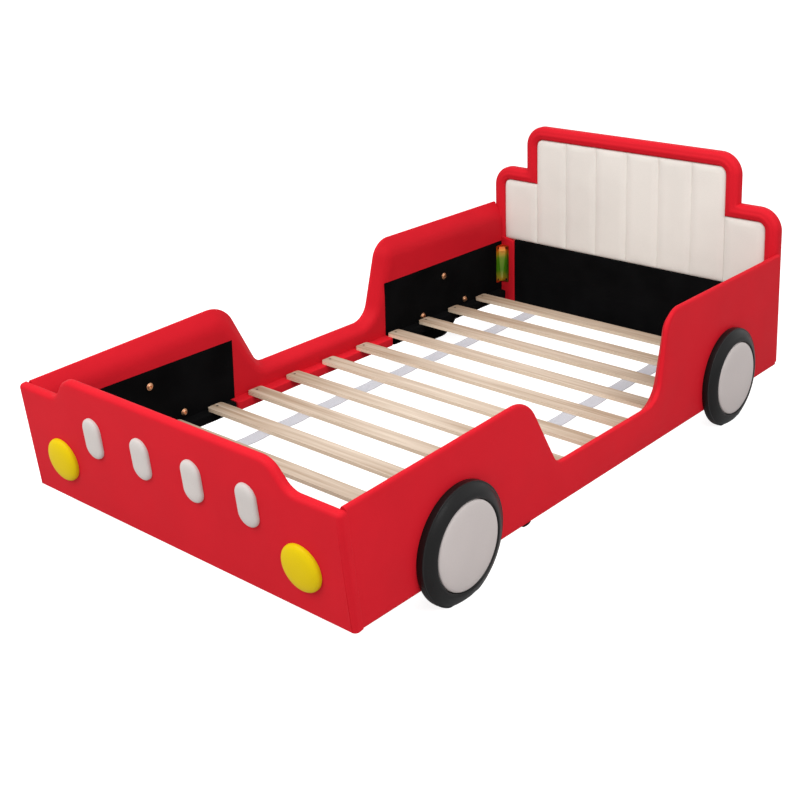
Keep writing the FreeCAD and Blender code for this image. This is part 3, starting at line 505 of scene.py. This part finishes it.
# ------------------------------------------------------------------ black linings
# Black felted cloth is glued over the low inner faces of the front board and of both wings of each
# side panel. Its ends are folded under the panels' feet, where one fold shows beside the door.
LINING_LOW, LINING_HIGH = 0.014, 0.225
LINING_PROUD = 0.0009
LINING_RIPPLE = 0.00025
LINING_SPANS = {"front": (0.028, 0.648), "rear": (1.328, 1.9755)}
TAIL_SPAN = (0.606, 0.642)
TAIL_DROP = 0.0055


def cloth_finish(name, colour, thread_size):
    """Flat felted cloth: fine fibres as noise, no gloss."""
    finish, tree, cloth = new_finish(name, {"Roughness": 0.95, "Specular IOR Level": 0.03})
    place = add_node(tree, "TexCoord")
    fibres = add_node(tree, "TexNoise", {"Scale": 1 / thread_size, "Detail": 4, "Distortion": 1.2})
    slow = add_node(tree, "TexNoise", {"Scale": 9})
    mixed = add_maths(tree, "MULTIPLY")
    tone = add_node(tree, "MapRange", {"From Min": 0.12, "From Max": 0.40, "To Min": 0.6, "To Max": 1.5})
    tint = add_node(tree, "HueSaturation", {"Color": (*colour, 1)})
    bump = add_node(tree, "Bump", {"Distance": 0.0003})
    wire(tree, (place, "Object", fibres, "Vector"), (place, "Object", slow, "Vector"),
         (fibres, "Fac", mixed, 0), (slow, "Fac", mixed, 1), (mixed, 0, tone, "Value"),
         (tone, 0, tint, "Value"), (tint, "Color", cloth, "Base Color"),
         (fibres, "Fac", bump, "Height"), (bump, "Normal", cloth, "Normal"))
    return finish


def sheet_grid(face, back):
    """Closed loops of a thin sheet: each row of the face, then the same row of its back, reversed."""
    return np.concatenate([face, back[:, ::-1]], 1)


black_cloth = cloth_finish("black_lining", (0.0030, 0.0030, 0.0032), 0.0012)
side_inner = SIDE_OUTER - SIDE_THICK
lining_heights = np.linspace(LINING_LOW, LINING_HIGH, 24)
for end, (start, stop) in LINING_SPANS.items():
    u, v = np.meshgrid(np.linspace(start, stop, 60), lining_heights, indexing="ij")
    proud = LINING_PROUD + LINING_RIPPLE * (np.sin(31 * u + 4) * np.sin(26 * v))
    for name, side in (("right", 1), ("left", -1)):
        face = np.stack([side * (side_inner - proud), FRONT_FOOT_Y + u, PANEL_FOOT_Z + v], -1)
        back = np.stack([side * (side_inner + 0.001 + 0 * u), FRONT_FOOT_Y + u, PANEL_FOOT_Z + v], -1)
        lining = skin("lining_%s_%s" % (end, name), sheet_grid(face, back))
        dress(lining, black_cloth, ("side_lining_%s_%s" % (end, name),))

reach = 0.5225
u, v = np.meshgrid(np.linspace(-reach, reach, 80), lining_heights, indexing="ij")
proud = LINING_PROUD + LINING_RIPPLE * (np.sin(23 * u + 1) * np.sin(26 * v))
lining = skin("lining_of_front_board", sheet_grid(on_front_board(u, v, FRONT_THICK + proud),
                                                  on_front_board(u, v, FRONT_THICK - 0.001 + 0 * u)))
dress(lining, black_cloth, ("front_lining",))

u, v = np.meshgrid(np.linspace(TAIL_SPAN[0], TAIL_SPAN[1], 16), np.linspace(0, 1, 12), indexing="ij")
drop = TAIL_DROP * np.sin(math.pi * (u - TAIL_SPAN[0]) / (TAIL_SPAN[1] - TAIL_SPAN[0])) ** 0.4
for name, side in (("right", 1), ("left", -1)):
    x = side * (SIDE_OUTER - 0.0015 - (SIDE_THICK - 0.010) * v)
    low = np.stack([x, FRONT_FOOT_Y + u, PANEL_FOOT_Z - drop * (1 - 0.5 * v)], -1)
    high = np.stack([x, FRONT_FOOT_Y + u, PANEL_FOOT_Z + 0.002 + 0 * u], -1)
    tail = skin("lining_fold_" + name, sheet_grid(low, high))
    dress(tail, black_cloth)


# ------------------------------------------------------------------ ledges
# Square battens screwed along the foot of each side panel carry the slats. They are covered like
# the face behind them: black at both ends of the bed and red between, with softened corners.
LEDGE_SKIN = leatherette("red_ledge", RED, roughness=0.5, slack=0.0004, gloss=0.03)
LEDGE_ROUND = 0.0035
LEDGE_END_ROUND = 0.009
LEDGE_WAVE = 0.0004                        # unevenness of the cover


def covered_bar(name, low, high, soft, end_round, finish, node):
    """Bar between two corners whose long edges have a soft radius and whose inner ends are rounded.

    Near an end the bar's inner side draws back along a quarter circle: by r less the root of r
    squared less the square of the distance past the round's start.
    """
    side = math.copysign(1.0, low.x + high.x)
    outer, inner = max(abs(low.x), abs(high.x)), min(abs(low.x), abs(high.x))
    near = np.linspace(0, math.pi / 2, 9)
    starts = low.y + end_round * (1 - np.cos(near))
    y = np.concatenate([starts, np.linspace(low.y + end_round, high.y - end_round, 60)[1:-1],
                        (high.y - end_round * (1 - np.cos(near)))[::-1]])
    past = np.maximum(0, np.maximum(low.y + end_round - y, y - high.y + end_round))
    drawn_in = end_round - np.sqrt(np.maximum(end_round ** 2 - past ** 2, 0))
    corner = np.linspace(0, math.pi / 2, 6)
    a = np.concatenate([inner + soft * (1 - np.cos(corner)), [outer, outer],
                        inner + soft * (1 - np.cos(corner[::-1]))])
    z = np.concatenate([high.z - soft * (1 - np.sin(corner)), [high.z, low.z],
                        low.z + soft * (1 - np.sin(corner[::-1]))])
    free = (outer - a) / (outer - inner)
    x = a[None] + drawn_in[:, None] * free[None]
    wave = LEDGE_WAVE * np.sin(47 * y)[:, None] * free[None]
    grid = np.stack(np.broadcast_arrays(side * (x + wave), y[:, None], z[None]), -1)
    return dress(skin(name, grid), finish, (node,))


LEDGE_PARTS = (("front", black_cloth, "black_lining"), ("middle", LEDGE_SKIN, "red_leatherette"),
               ("rear", black_cloth, "black_lining"))
for side in ("left", "right"):
    for part, finish, slot in LEDGE_PARTS:
        node = "ledge_%s_%s" % (part, side)
        low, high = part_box(node)
        covered_bar(node + "_cover", low, high, LEDGE_ROUND, LEDGE_END_ROUND, finish, node)


# ------------------------------------------------------------------ slats
# Twelve flat slats of poplar plywood, sawn and sanded, screwed down through both ends. The grain
# runs along them, the plies show as fine bands on their edges, and painted shade darkens the deck towards
# its sides and ends.
SLAT_LIGHT = (0.660, 0.560, 0.455)
SLAT_DARK = (0.330, 0.232, 0.155)


def plywood(name, light, dark, grain_scale, ply):
    """Veneer: noise along the grain, darkened by painted shade away from the bed's middle, and pale edges
    with bands a ply high.
    """
    finish, tree, wood = new_finish(name, {"Specular IOR Level": 0.25, "Roughness": 0.62})
    place = add_node(tree, "TexCoord")
    drawn = add_node(tree, "Mapping", {"Scale": grain_scale})
    figure = add_node(tree, "TexNoise", {"Scale": 1.0, "Detail": 6, "Roughness": 0.6, "Distortion": 0.35})
    pores = add_node(tree, "TexNoise", {"Scale": 6.0, "Detail": 3})
    # painted shade: darker by 0.62 times the distance from the bed's middle, lengthwise distance counted
    # at 0.4, so the deck darkens towards the side panels and its ends
    from_middle = add_node(tree, "Mapping", {"Scale": (1.0, 0.4, 0.0)})
    aside = add_node(tree, "VectorMath", operation="LENGTH")
    figure_less_painted_shade = add_maths(tree, "MULTIPLY_ADD", {1: -0.62})
    spread = add_node(tree, "MapRange", {"From Min": 0.10, "From Max": 0.62})
    mix = add_mix(tree, {"A": (*dark, 1), "B": (*light, 1)})
    split = add_node(tree, "SeparateXYZ")
    count = add_maths(tree, "DIVIDE", {1: 2 * ply})
    part = add_maths(tree, "FRACT")
    band = add_maths(tree, "GREATER_THAN", {1: 0.5})
    facing = add_node(tree, "NewGeometry")
    normal = add_node(tree, "SeparateXYZ")
    flat = add_maths(tree, "ABSOLUTE")
    edge = add_maths(tree, "LESS_THAN", {1: 0.5})
    both = add_maths(tree, "MULTIPLY")
    weight = add_maths(tree, "MULTIPLY_ADD", {1: -0.30, 2: 0.75})
    banded = add_mix(tree, {"B": (light[0] * 1.25, light[1] * 1.20, light[2] * 1.10, 1)})
    bump = add_node(tree, "Bump", {"Distance": 0.0002})
    wire(tree, (place, "Object", drawn, "Vector"), (drawn, "Vector", figure, "Vector"),
         (drawn, "Vector", pores, "Vector"), (place, "Object", from_middle, "Vector"),
         (from_middle, "Vector", aside, 0), (aside, "Value", figure_less_painted_shade, 0), (figure, "Fac", figure_less_painted_shade, 2),
         (figure_less_painted_shade, 0, spread, "Value"), (spread, 0, mix, "Factor"), (place, "Object", split, 0),
         (split, "Z", count, 0), (count, 0, part, 0), (part, 0, band, 0), (facing, "Normal", normal, 0),
         (normal, "Z", flat, 0), (flat, 0, edge, 0), (band, 0, weight, 0), (edge, 0, both, 0),
         (weight, 0, both, 1), (both, 0, banded, "Factor"), (mix, "Result", banded, "A"),
         (banded, "Result", wood, "Base Color"), (pores, "Fac", bump, "Height"),
         (bump, "Normal", wood, "Normal"))
    return finish


def finish_node(name, finish):
    """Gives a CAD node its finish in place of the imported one."""
    node = nodes[name]
    node.data.materials.clear()
    node.data.materials.append(finish)


slat_wood = plywood("slat_plywood", SLAT_LIGHT, SLAT_DARK, grain_scale=(2.2, 70, 70), ply=0.0022)
slat_names = sorted(name for name in nodes if name.startswith("slat_"))
for name in slat_names:
    finish_node(name, slat_wood)


# ------------------------------------------------------------------ straps
# Two woven straps run under all the slats and keep them apart. They are stapled to each slat and
# sag a little between them.
STRAP_X = 0.298
STRAP_SHIFT = 0.027
STRAP_HALF = 0.023
STRAP_THICK = 0.0016
STRAP_SAG = 0.0026
strap_finish, tree, webbing = new_finish("webbing", {"Roughness": 0.8, "Specular IOR Level": 0.2})
place = add_node(tree, "TexCoord")
weft = add_node(tree, "TexWave", {"Scale": 90, "Distortion": 1.5, "Detail": 1})
weft.bands_direction = "Y"
warp = add_node(tree, "TexWave", {"Scale": 140})
warp.bands_direction = "X"
threads = add_maths(tree, "MULTIPLY")
ramp = add_mix(tree, {"A": (0.42, 0.42, 0.45, 1), "B": (0.62, 0.62, 0.66, 1)})
bump = add_node(tree, "Bump", {"Distance": 0.0004})
wire(tree, (place, "Object", weft, "Vector"), (place, "Object", warp, "Vector"),
     (weft, "Fac", threads, 0), (warp, "Fac", threads, 1), (threads, 0, ramp, "Factor"),
     (ramp, "Result", webbing, "Base Color"), (threads, 0, bump, "Height"),
     (bump, "Normal", webbing, "Normal"))

strap_low, strap_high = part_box("straps")
slat_pitch = (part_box(slat_names[1])[0].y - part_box(slat_names[0])[0].y)
slat_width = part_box(slat_names[0])[1].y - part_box(slat_names[0])[0].y
u, v = np.meshgrid(np.linspace(strap_low.y, strap_high.y, 420), np.linspace(-1, 1, 7), indexing="ij")
past_slat = ((u - strap_low.y) % slat_pitch - slat_width) / (slat_pitch - slat_width)
sag = STRAP_SAG * np.sin(math.pi * past_slat.clip(0, 1)) * (1 + 0.15 * v)
for name, x in (("left", STRAP_SHIFT - STRAP_X), ("right", STRAP_SHIFT + STRAP_X)):
    face = np.stack([x + STRAP_HALF * v, u, strap_high.z - sag], -1)
    back = face - np.array([0, 0, STRAP_THICK])
    strap = skin("strap_" + name, sheet_grid(face, back))
    dress(strap, strap_finish, ("straps",) if name == "left" else ())


# ------------------------------------------------------------------ headboard
# A board with a thick roll of padded red leatherette round its stepped outline, rolled over its
# edge and stapled behind, where a black cover hides the staples. Below the cushion the roll runs
# down as a flat strip on each side of a black panel.
HEAD_FACE_Y = FRONT_FOOT_Y + 1.976
HEAD_HALF = 0.554
HEAD_FOOT = 0.0
HEAD_SHOULDER = 0.504
HEAD_TOP = 0.666
HEAD_STEP = 0.413
HEAD_ROUND = 0.072
HEAD_DEEP = 0.032
BOARD_DEPTH = 0.0165                       # the board inside starts this far behind the face
ROLL_WIDTH = 0.046
STRIP_WIDTH = HEAD_HALF - 0.466
ROLL_OUTER_ROUND = 0.018
ROLL_INNER_ROUND = 0.012
ROLL_CROWN = 0.0022
ROLL_FOLD = 0.009                          # how far the roll is folded in behind the board
CUSHION_FOOT = 0.235
HEAD_LEAN = -0.008                         # its outline leans to the left by this share of the height
DUST_COVER_INSET = 0.006
DUST_COVER_FOOT = 0.005


def roll_rows(width, outer_round, inner_round, crown):
    """Insets and depths of the roll: behind the edge, over it, a crowned face, and down to the seam.

    The face rises over the chord between its two roundings by the crown times the sine of pi times
    the share of the way.
    """
    angle = np.linspace(0, math.pi / 2, 10)
    behind = np.linspace(ROLL_FOLD, 0, 3)
    over_inset = outer_round * (1 - np.cos(angle))
    over_depth = outer_round * (1 - np.sin(angle))
    across = np.linspace(0, 1, 9)[1:-1]
    face_inset = outer_round + (width - inner_round - outer_round) * across
    face_depth = -crown * np.sin(math.pi * across)
    down_inset = width - inner_round * (1 - np.sin(angle))
    down_depth = inner_round * (1 - np.cos(angle))
    inset = np.concatenate([behind, over_inset, face_inset, down_inset, [width, ROLL_FOLD]])
    depth = np.concatenate([np.full(3, HEAD_DEEP), over_depth, face_depth, down_depth,
                            [BOARD_DEPTH, BOARD_DEPTH]])
    return inset, depth


head_line = whole_line([(HEAD_HALF, HEAD_FOOT, 0), (HEAD_HALF, HEAD_SHOULDER, HEAD_ROUND),
                        (HEAD_STEP, HEAD_SHOULDER, 0), (HEAD_STEP, HEAD_TOP, HEAD_ROUND)])
line, inward = rounded_line(head_line, step=0.012, arc_step=0.005)
roll_inset, roll_depth = roll_rows(ROLL_WIDTH, ROLL_OUTER_ROUND, ROLL_INNER_ROUND, ROLL_CROWN)
strip_inset, strip_depth = roll_rows(STRIP_WIDTH, outer_round=0.006, inner_round=0.003, crown=0.0)
beside = (np.abs(line[:, 0]) > HEAD_HALF - 0.001) & (line[:, 1] < CUSHION_FOOT)
inset = np.where(beside[:, None], strip_inset[None], roll_inset[None])
depth = np.where(beside[:, None], strip_depth[None], roll_depth[None])
plane = line[:, None] + inward[:, None] * inset[..., None]
grid = np.stack([plane[..., 0] + HEAD_LEAN * plane[..., 1], HEAD_FACE_Y + depth,
                 PANEL_FOOT_Z + plane[..., 1]], -1)
roll = skin("headboard_roll", grid)
dress(roll, red, ("headboard_cover",))

back_low, back_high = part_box("headboard_back")
edge_line, edge_inward = rounded_line(head_line, step=0.020, arc_step=0.008)
line_in = edge_line + edge_inward * DUST_COVER_INSET
foot_in = np.stack([line_in[:, 0] * 0.999, np.full(len(line_in), HEAD_FOOT + DUST_COVER_FOOT)], -1)
share = np.linspace(0, 1, 26)[None, :, None]
face = foot_in[:, None] + (line_in - foot_in)[:, None] * share
face[..., 0] += HEAD_LEAN * face[..., 1]
sag = 0.0008 * np.sin(19 * face[..., 0] + 2) * np.sin(17 * face[..., 1])
outside = np.stack([face[..., 0], back_high.y + 0.0004 + sag, PANEL_FOOT_Z + face[..., 1]], -1)
inside = np.stack([face[..., 0], back_low.y + 0 * sag, PANEL_FOOT_Z + face[..., 1]], -1)
dust_cover = skin("headboard_dust_cover", sheet_grid(outside, inside))
dress(dust_cover, black_cloth, ("headboard_back",))

finish_node("headboard_lower_panel", black_cloth)


# ------------------------------------------------------------------ headboard cushion
# Cream leatherette over foam, sewn into eight upright channels and pulled tight into the roll. It
# is filled by a cloth simulation that holds its seams and edges down and swells what is between.
CREAM = (0.725, 0.695, 0.645)
CUSHION_HALF = HEAD_HALF - ROLL_WIDTH
CUSHION_STEP = HEAD_STEP - ROLL_WIDTH
CUSHION_TOP = HEAD_TOP - ROLL_WIDTH
CUSHION_SHOULDER = HEAD_SHOULDER - ROLL_WIDTH
CUSHION_CORNER = 0.020
CHANNELS = 6
SEAM_DEPTH = 0.0100                        # seams, behind the roll's face
CHANNEL_DEPTH = 0.0055                     # channels before they are filled
CHANNEL_FADE = 0.012                       # over which a channel dies out at its top and foot
CHANNEL_DIP = 0.003                        # and how far it is drawn in there
CUSHION_BACK = 0.0165
TIE_IN = 0.0004
SWELL_CAP = 0.0014
SWELL_FRAMES = 20


def channel_block(x, seams, top):
    """Loops of one block of channels, from column to column: its face, then its back.

    Between two seams a face stands proud of them by one less the 14th power of the distance from
    the middle, as a share of half the way, and fades within 12 mm of the block's top and foot.
    """
    rows = 0.5 - 0.5 * np.cos(np.linspace(0, math.pi, 61))
    foot = CUSHION_FOOT + TIE_IN
    z = foot + (top - foot)[:, None] * rows[None]
    index = np.clip(np.searchsorted(seams, x, side="right") - 1, 0, len(seams) - 2)
    share = (x - seams[index]) / (seams[index + 1] - seams[index])
    across = 1 - np.abs(2 * share.clip(0, 1) - 1) ** 14
    from_end = np.minimum(z - foot, top[:, None] - z) / CHANNEL_FADE
    fade = np.sqrt(1 - (1 - from_end.clip(0, 1)) ** 2)
    proud = (SEAM_DEPTH - CHANNEL_DEPTH) * across[:, None] * fade
    edge_dip = CHANNEL_DIP * (1 - fade)
    face = np.stack([x[:, None] + HEAD_LEAN * z, HEAD_FACE_Y + SEAM_DEPTH - proud + edge_dip,
                     PANEL_FOOT_Z + z], -1)
    back = face.copy()
    back[..., 1] = HEAD_FACE_Y + CUSHION_BACK
    held = np.zeros(face.shape[:2], bool)
    held[[0, -1]] = True
    held[:, [0, -1]] = True
    held[np.isclose(x[:, None], seams[None], atol=1e-5).any(1)] = True
    return sheet_grid(face, back), np.concatenate([held, np.ones_like(held)], 1)


def corner_top(x, half, top):
    """Height of a block's top at x: level, then down a quarter circle at its rounded corner."""
    past = (np.abs(x) - (half - CUSHION_CORNER)).clip(0, CUSHION_CORNER)
    return top - CUSHION_CORNER + np.sqrt(CUSHION_CORNER ** 2 - past ** 2)


def seam_spaced(seams, count):
    """Columns crowded towards each seam: the share of the way is half of one less a cosine."""
    share = 0.5 - 0.5 * np.cos(np.linspace(0, math.pi, count + 1))[:-1]
    columns = [start + (stop - start) * share for start, stop in zip(seams[:-1], seams[1:])]
    return np.concatenate(columns + [seams[-1:]])


def swell(piece, held):
    """Fills a closed piece as cloth under pressure with its seams held, and caps how far it moves."""
    pins = piece.vertex_groups.new(name="held")
    pins.add(np.flatnonzero(held).tolist(), 1.0, "REPLACE")
    cloth = piece.modifiers.new("fill", "CLOTH")
    settings = cloth.settings
    settings.quality = 6
    settings.mass = 0.25
    settings.tension_stiffness = 30
    settings.compression_stiffness = 30
    settings.shear_stiffness = 20
    settings.bending_stiffness = 8
    settings.use_pressure = True
    settings.uniform_pressure_force = 4.0
    settings.vertex_group_mass = pins.name
    settings.effector_weights.gravity = 0
    cloth.collision_settings.use_collision = False
    cloth.point_cache.frame_start = 1
    cloth.point_cache.frame_end = SWELL_FRAMES
    for step in range(1, SWELL_FRAMES + 1):
        scene.frame_set(step)
    filled = piece.evaluated_get(bpy.context.evaluated_depsgraph_get()).to_mesh()
    before = np.empty(len(piece.data.vertices) * 3, np.float32)
    piece.data.vertices.foreach_get("co", before)
    after = np.empty_like(before)
    filled.vertices.foreach_get("co", after)
    moved = (after - before).reshape(-1, 3)
    far = np.linalg.norm(moved, axis=1, keepdims=True)
    moved *= np.minimum(1, SWELL_CAP / np.maximum(far, 1e-9))
    piece.modifiers.remove(cloth)
    piece.data.vertices.foreach_set("co", (before.reshape(-1, 3) + moved).ravel())
    piece.data.update()
    scene.frame_set(1)


cream = leatherette("cream_leatherette", CREAM, roughness=0.46, slack=0.0005, gloss=0.15)
seams_middle = np.linspace(-CUSHION_STEP, CUSHION_STEP, CHANNELS + 1)
blocks = {
    "middle": (seams_middle, 20, lambda x: corner_top(x, CUSHION_STEP - TIE_IN, CUSHION_TOP - TIE_IN)),
    "left": (np.array([-CUSHION_HALF + TIE_IN, -CUSHION_STEP - TIE_IN]), 26,
             lambda x: corner_top(x, CUSHION_HALF - TIE_IN, CUSHION_SHOULDER - TIE_IN)),
    "right": (np.array([CUSHION_STEP + TIE_IN, CUSHION_HALF - TIE_IN]), 26,
              lambda x: corner_top(x, CUSHION_HALF - TIE_IN, CUSHION_SHOULDER - TIE_IN)),
}
for name, (seams, count, top_of) in blocks.items():
    x = seam_spaced(seams, count)
    grid, held = channel_block(x, seams, top_of(x))
    cushion = skin("headboard_cushion_" + name, grid)
    swell(cushion, held.ravel())
    dress(cushion, cream, ("headboard_cushion",) if name == "middle" else ())


# ------------------------------------------------------------------ wheels
# Four false wheels stand under the bed: a disc covered in black with a fat black ring round it and
# a pale padded disc sunk in the ring. The ring is flat where it stands on the floor.
WHEEL_Y = {"front": FRONT_FOOT_Y + 0.350, "rear": FRONT_FOOT_Y + 1.643}
WHEEL_Z = 0.139
WHEEL_STATIONS = 128                       # round each wheel
TYRE_PROFILE = [                           # (out from the side panel, radius), round from the back
    (0.0, 0.1403), (0.0, 0.1465), (0.0015, 0.1483), (0.005, 0.1493), (0.0120, 0.1495), (0.0168, 0.1489),
    (0.0184, 0.1492), (0.0197, 0.1485), (0.0200, 0.1470), (0.0202, 0.1452), (0.0224, 0.1420),
    (0.0262, 0.1365), (0.0298, 0.1300), (0.0328, 0.1235), (0.0346, 0.1175), (0.0348, 0.1136),
    (0.0322, 0.1112), (0.0240, 0.1104), (0.0125, 0.1104), (0.0125, 0.1403),
]
DISC_PROFILE = np.array([(0.0002, 0.1370), (0.0002, 0.1390), (0.0010, 0.1400), (0.0122, 0.1400),
                         (0.0122, 0.1370)])
HUB_RADIUS = 0.110
HUB_GAP = 0.0008                           # between the hub and the ring
HUB_BULGE = 0.0400
HUB_FULLNESS = 4.5
HUB_WALL = 0.028
HUB_SEAT = 0.0125                          # the hub's back, out from the side panel
TYRE_BLACK = (0.007, 0.007, 0.0072)
# the hubs' leatherette is the grille pads' pale leatherette made darker: painted shade for the wheels on
# the bed's sides
HUB_PALE_WITH_PAINTED_SHADE = (0.520, 0.470, 0.456)


def smooth_profile(points, steps):
    """Points on a Catmull-Rom curve: the usual cubic in each span, through every given point."""
    p = np.array(points, float)
    t = np.linspace(0, 1, steps, endpoint=False)[None, :, None]
    a, b, c, d = (np.roll(p, -shift, 0)[:, None] for shift in (-1, 0, 1, 2))
    curve = 0.5 * (2 * b + (c - a) * t + (2 * a - 5 * b + 4 * c - d) * t ** 2
                   + (3 * b - a - 3 * c + d) * t ** 3)
    return curve.reshape(-1, 2)


tyre_black = leatherette("black_leatherette", TYRE_BLACK, roughness=0.30, slack=0.0006, gloss=0.20)
hub_pale_with_painted_shade = leatherette("hub_leatherette", HUB_PALE_WITH_PAINTED_SHADE, roughness=0.45, slack=0.0008)
board_wood = plywood("wheel_plywood", SLAT_LIGHT, SLAT_DARK, grain_scale=(40, 6, 40), ply=0.0015)
ring = smooth_profile(TYRE_PROFILE, 4)
turn_of = np.linspace(0, 2 * math.pi, WHEEL_STATIONS, endpoint=False)[:, None]


def turned(profile, side, wheel_y):
    """A profile turned about a wheel's axle, by radius times cosine and sine, and flat on the floor."""
    out, radius = profile[None, :, 0], profile[None, :, 1]
    return np.stack(np.broadcast_arrays(side * (SIDE_OUTER + out), wheel_y + radius * np.cos(turn_of),
                                        np.maximum(WHEEL_Z + radius * np.sin(turn_of), 0.0)), -1)


for end, wheel_y in WHEEL_Y.items():
    for name, side in (("left", -1), ("right", 1)):
        tyre = skin("tyre_%s_%s" % (end, name), turned(ring, side, wheel_y), round_columns=True)
        dress(tyre, tyre_black, ("tyre_pad_%s_%s" % (end, name),))
        a, b, height = domed_pad(HUB_RADIUS - HUB_GAP, 0.0, HUB_BULGE, HUB_FULLNESS, HUB_WALL,
                                 WHEEL_STATIONS)
        grid = np.stack([side * (SIDE_OUTER + height.clip(HUB_SEAT)), wheel_y + a, WHEEL_Z + b], -1)
        hub = skin("hub_%s_%s" % (end, name), grid)
        dress(hub, hub_pale_with_painted_shade, ("hub_pad_%s_%s" % (end, name),))
        disc = skin("wheel_disc_%s_%s" % (end, name), turned(DISC_PROFILE, side, wheel_y).swapaxes(0, 1))
        dress(disc, black_cloth, ("wheel_board_%s_%s" % (end, name),))


# ------------------------------------------------------------------ boards, bolts, screws, brackets
# Raw boards show only where a cover ends. The wheel bolts are copper coloured, the corner brackets
# have the rainbow tints of yellow passivated zinc, and the screws are dark.
BOLT_COPPER = (0.720, 0.400, 0.230)
BOLT_CENTRES = {"front": (0.338, 0.142), "rear": (1.639, 0.137)}
BOLT_PLACES = ((0.0, 0.106), (-0.116, -0.010), (0.116, -0.010))
BOLT_PROFILE = (                           # radius, height over the lining, and how far it is a hexagon
    (0.0110, -0.0015, 0), (0.0110, 0.0008, 0), (0.0104, 0.0014, 0), (0.0086, 0.0015, 0),
    (0.0082, 0.0017, 0), (0.0082, 0.0036, 0), (0.0076, 0.0046, 0), (0.0062, 0.0053, 0),
    (0.0044, 0.0055, 0.3), (0.0034, 0.0051, 1), (0.0032, 0.0004, 1), (0.0016, 0.0001, 1),
)
SCREW_DARK = (0.060, 0.045, 0.035)


def plated(name, colour, roughness, variation):
    """Plated metal with cloudy variation in tone and roughness."""
    finish, tree, metal = new_finish(name, {"Metallic": 1.0})
    place = add_node(tree, "TexCoord")
    cloud = add_node(tree, "TexNoise", {"Scale": 160, "Detail": 4})
    tone = add_node(tree, "MapRange", {"From Min": 0.3, "From Max": 0.7, "To Min": 1 - variation,
                                       "To Max": 1 + variation})
    tint = add_node(tree, "HueSaturation", {"Color": (*colour, 1)})
    rough = add_maths(tree, "MULTIPLY_ADD", {1: 0.2, 2: roughness - 0.1})
    wire(tree, (place, "Object", cloud, "Vector"), (cloud, "Fac", tone, "Value"),
         (tone, 0, tint, "Value"), (tint, "Color", metal, "Base Color"), (cloud, "Fac", rough, 0),
         (rough, 0, metal, "Roughness"))
    return finish


bracket_finish, tree, zinc = new_finish("plated_bracket", {"Metallic": 1.0, "Roughness": 0.28})
bracket_low, bracket_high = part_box("corner_brackets")
place = add_node(tree, "TexCoord")
split = add_node(tree, "SeparateXYZ")
cloud = add_node(tree, "TexNoise", {"Scale": 28, "Detail": 2})
lift = add_node(tree, "MapRange", {"From Min": bracket_low.z, "From Max": bracket_high.z})
shifted = add_maths(tree, "MULTIPLY_ADD", {1: 0.24})
tints = add_node(tree, "ValToRGB")
stops = tints.color_ramp.elements
stops[0].position, stops[0].color = 0.10, (0.85, 0.50, 0.12, 1)
stops[1].position, stops[1].color = 1.0, (0.80, 0.22, 0.06, 1)
for position, colour in ((0.26, (0.62, 0.62, 0.14, 1)), (0.42, (0.22, 0.50, 0.07, 1)),
                         (0.74, (0.30, 0.55, 0.08, 1)), (0.88, (0.85, 0.55, 0.10, 1))):
    stops.new(position).color = colour
wire(tree, (place, "Object", split, 0), (place, "Object", cloud, "Vector"), (split, "Z", lift, "Value"),
     (cloud, "Fac", shifted, 0), (lift, 0, shifted, 2), (shifted, 0, tints, "Fac"),
     (tints, "Color", zinc, "Base Color"))

finish_node("corner_brackets", bracket_finish)
bolt_finish = plated("bolt_copper", BOLT_COPPER, 0.35, 0.2)
angle = np.linspace(0, 2 * math.pi, 48, endpoint=False)[None]
hexagon = 1 / np.cos((angle + math.pi / 6) % (math.pi / 3) - math.pi / 6)
radius, height, corners = (np.array(row)[:, None] for row in zip(*BOLT_PROFILE))
reach = radius * (1 + (hexagon - 1) * corners)
for end, (centre_y, centre_z) in BOLT_CENTRES.items():
    for name, side in (("left", -1), ("right", 1)):
        for number, (along, rise) in enumerate(BOLT_PLACES):
            grid = np.stack(np.broadcast_arrays(side * (side_inner - LINING_PROUD - height),
                                                FRONT_FOOT_Y + centre_y + along + reach * np.cos(angle),
                                                centre_z + rise + reach * np.sin(angle)), -1)
            head = skin("bolt_%s_%s_%d" % (end, name, number + 1), grid)
            dress(head, bolt_finish, ("wheel_bolts",) if number == 0 and end == "front"
                  and name == "left" else ())
finish_node("wheel_inserts", bolt_finish)
finish_node("wood_screws", plated("screw_dark", SCREW_DARK, 0.5, 0.3))
for name in ("front_core", "headboard_core"):
    finish_node(name, board_wood)
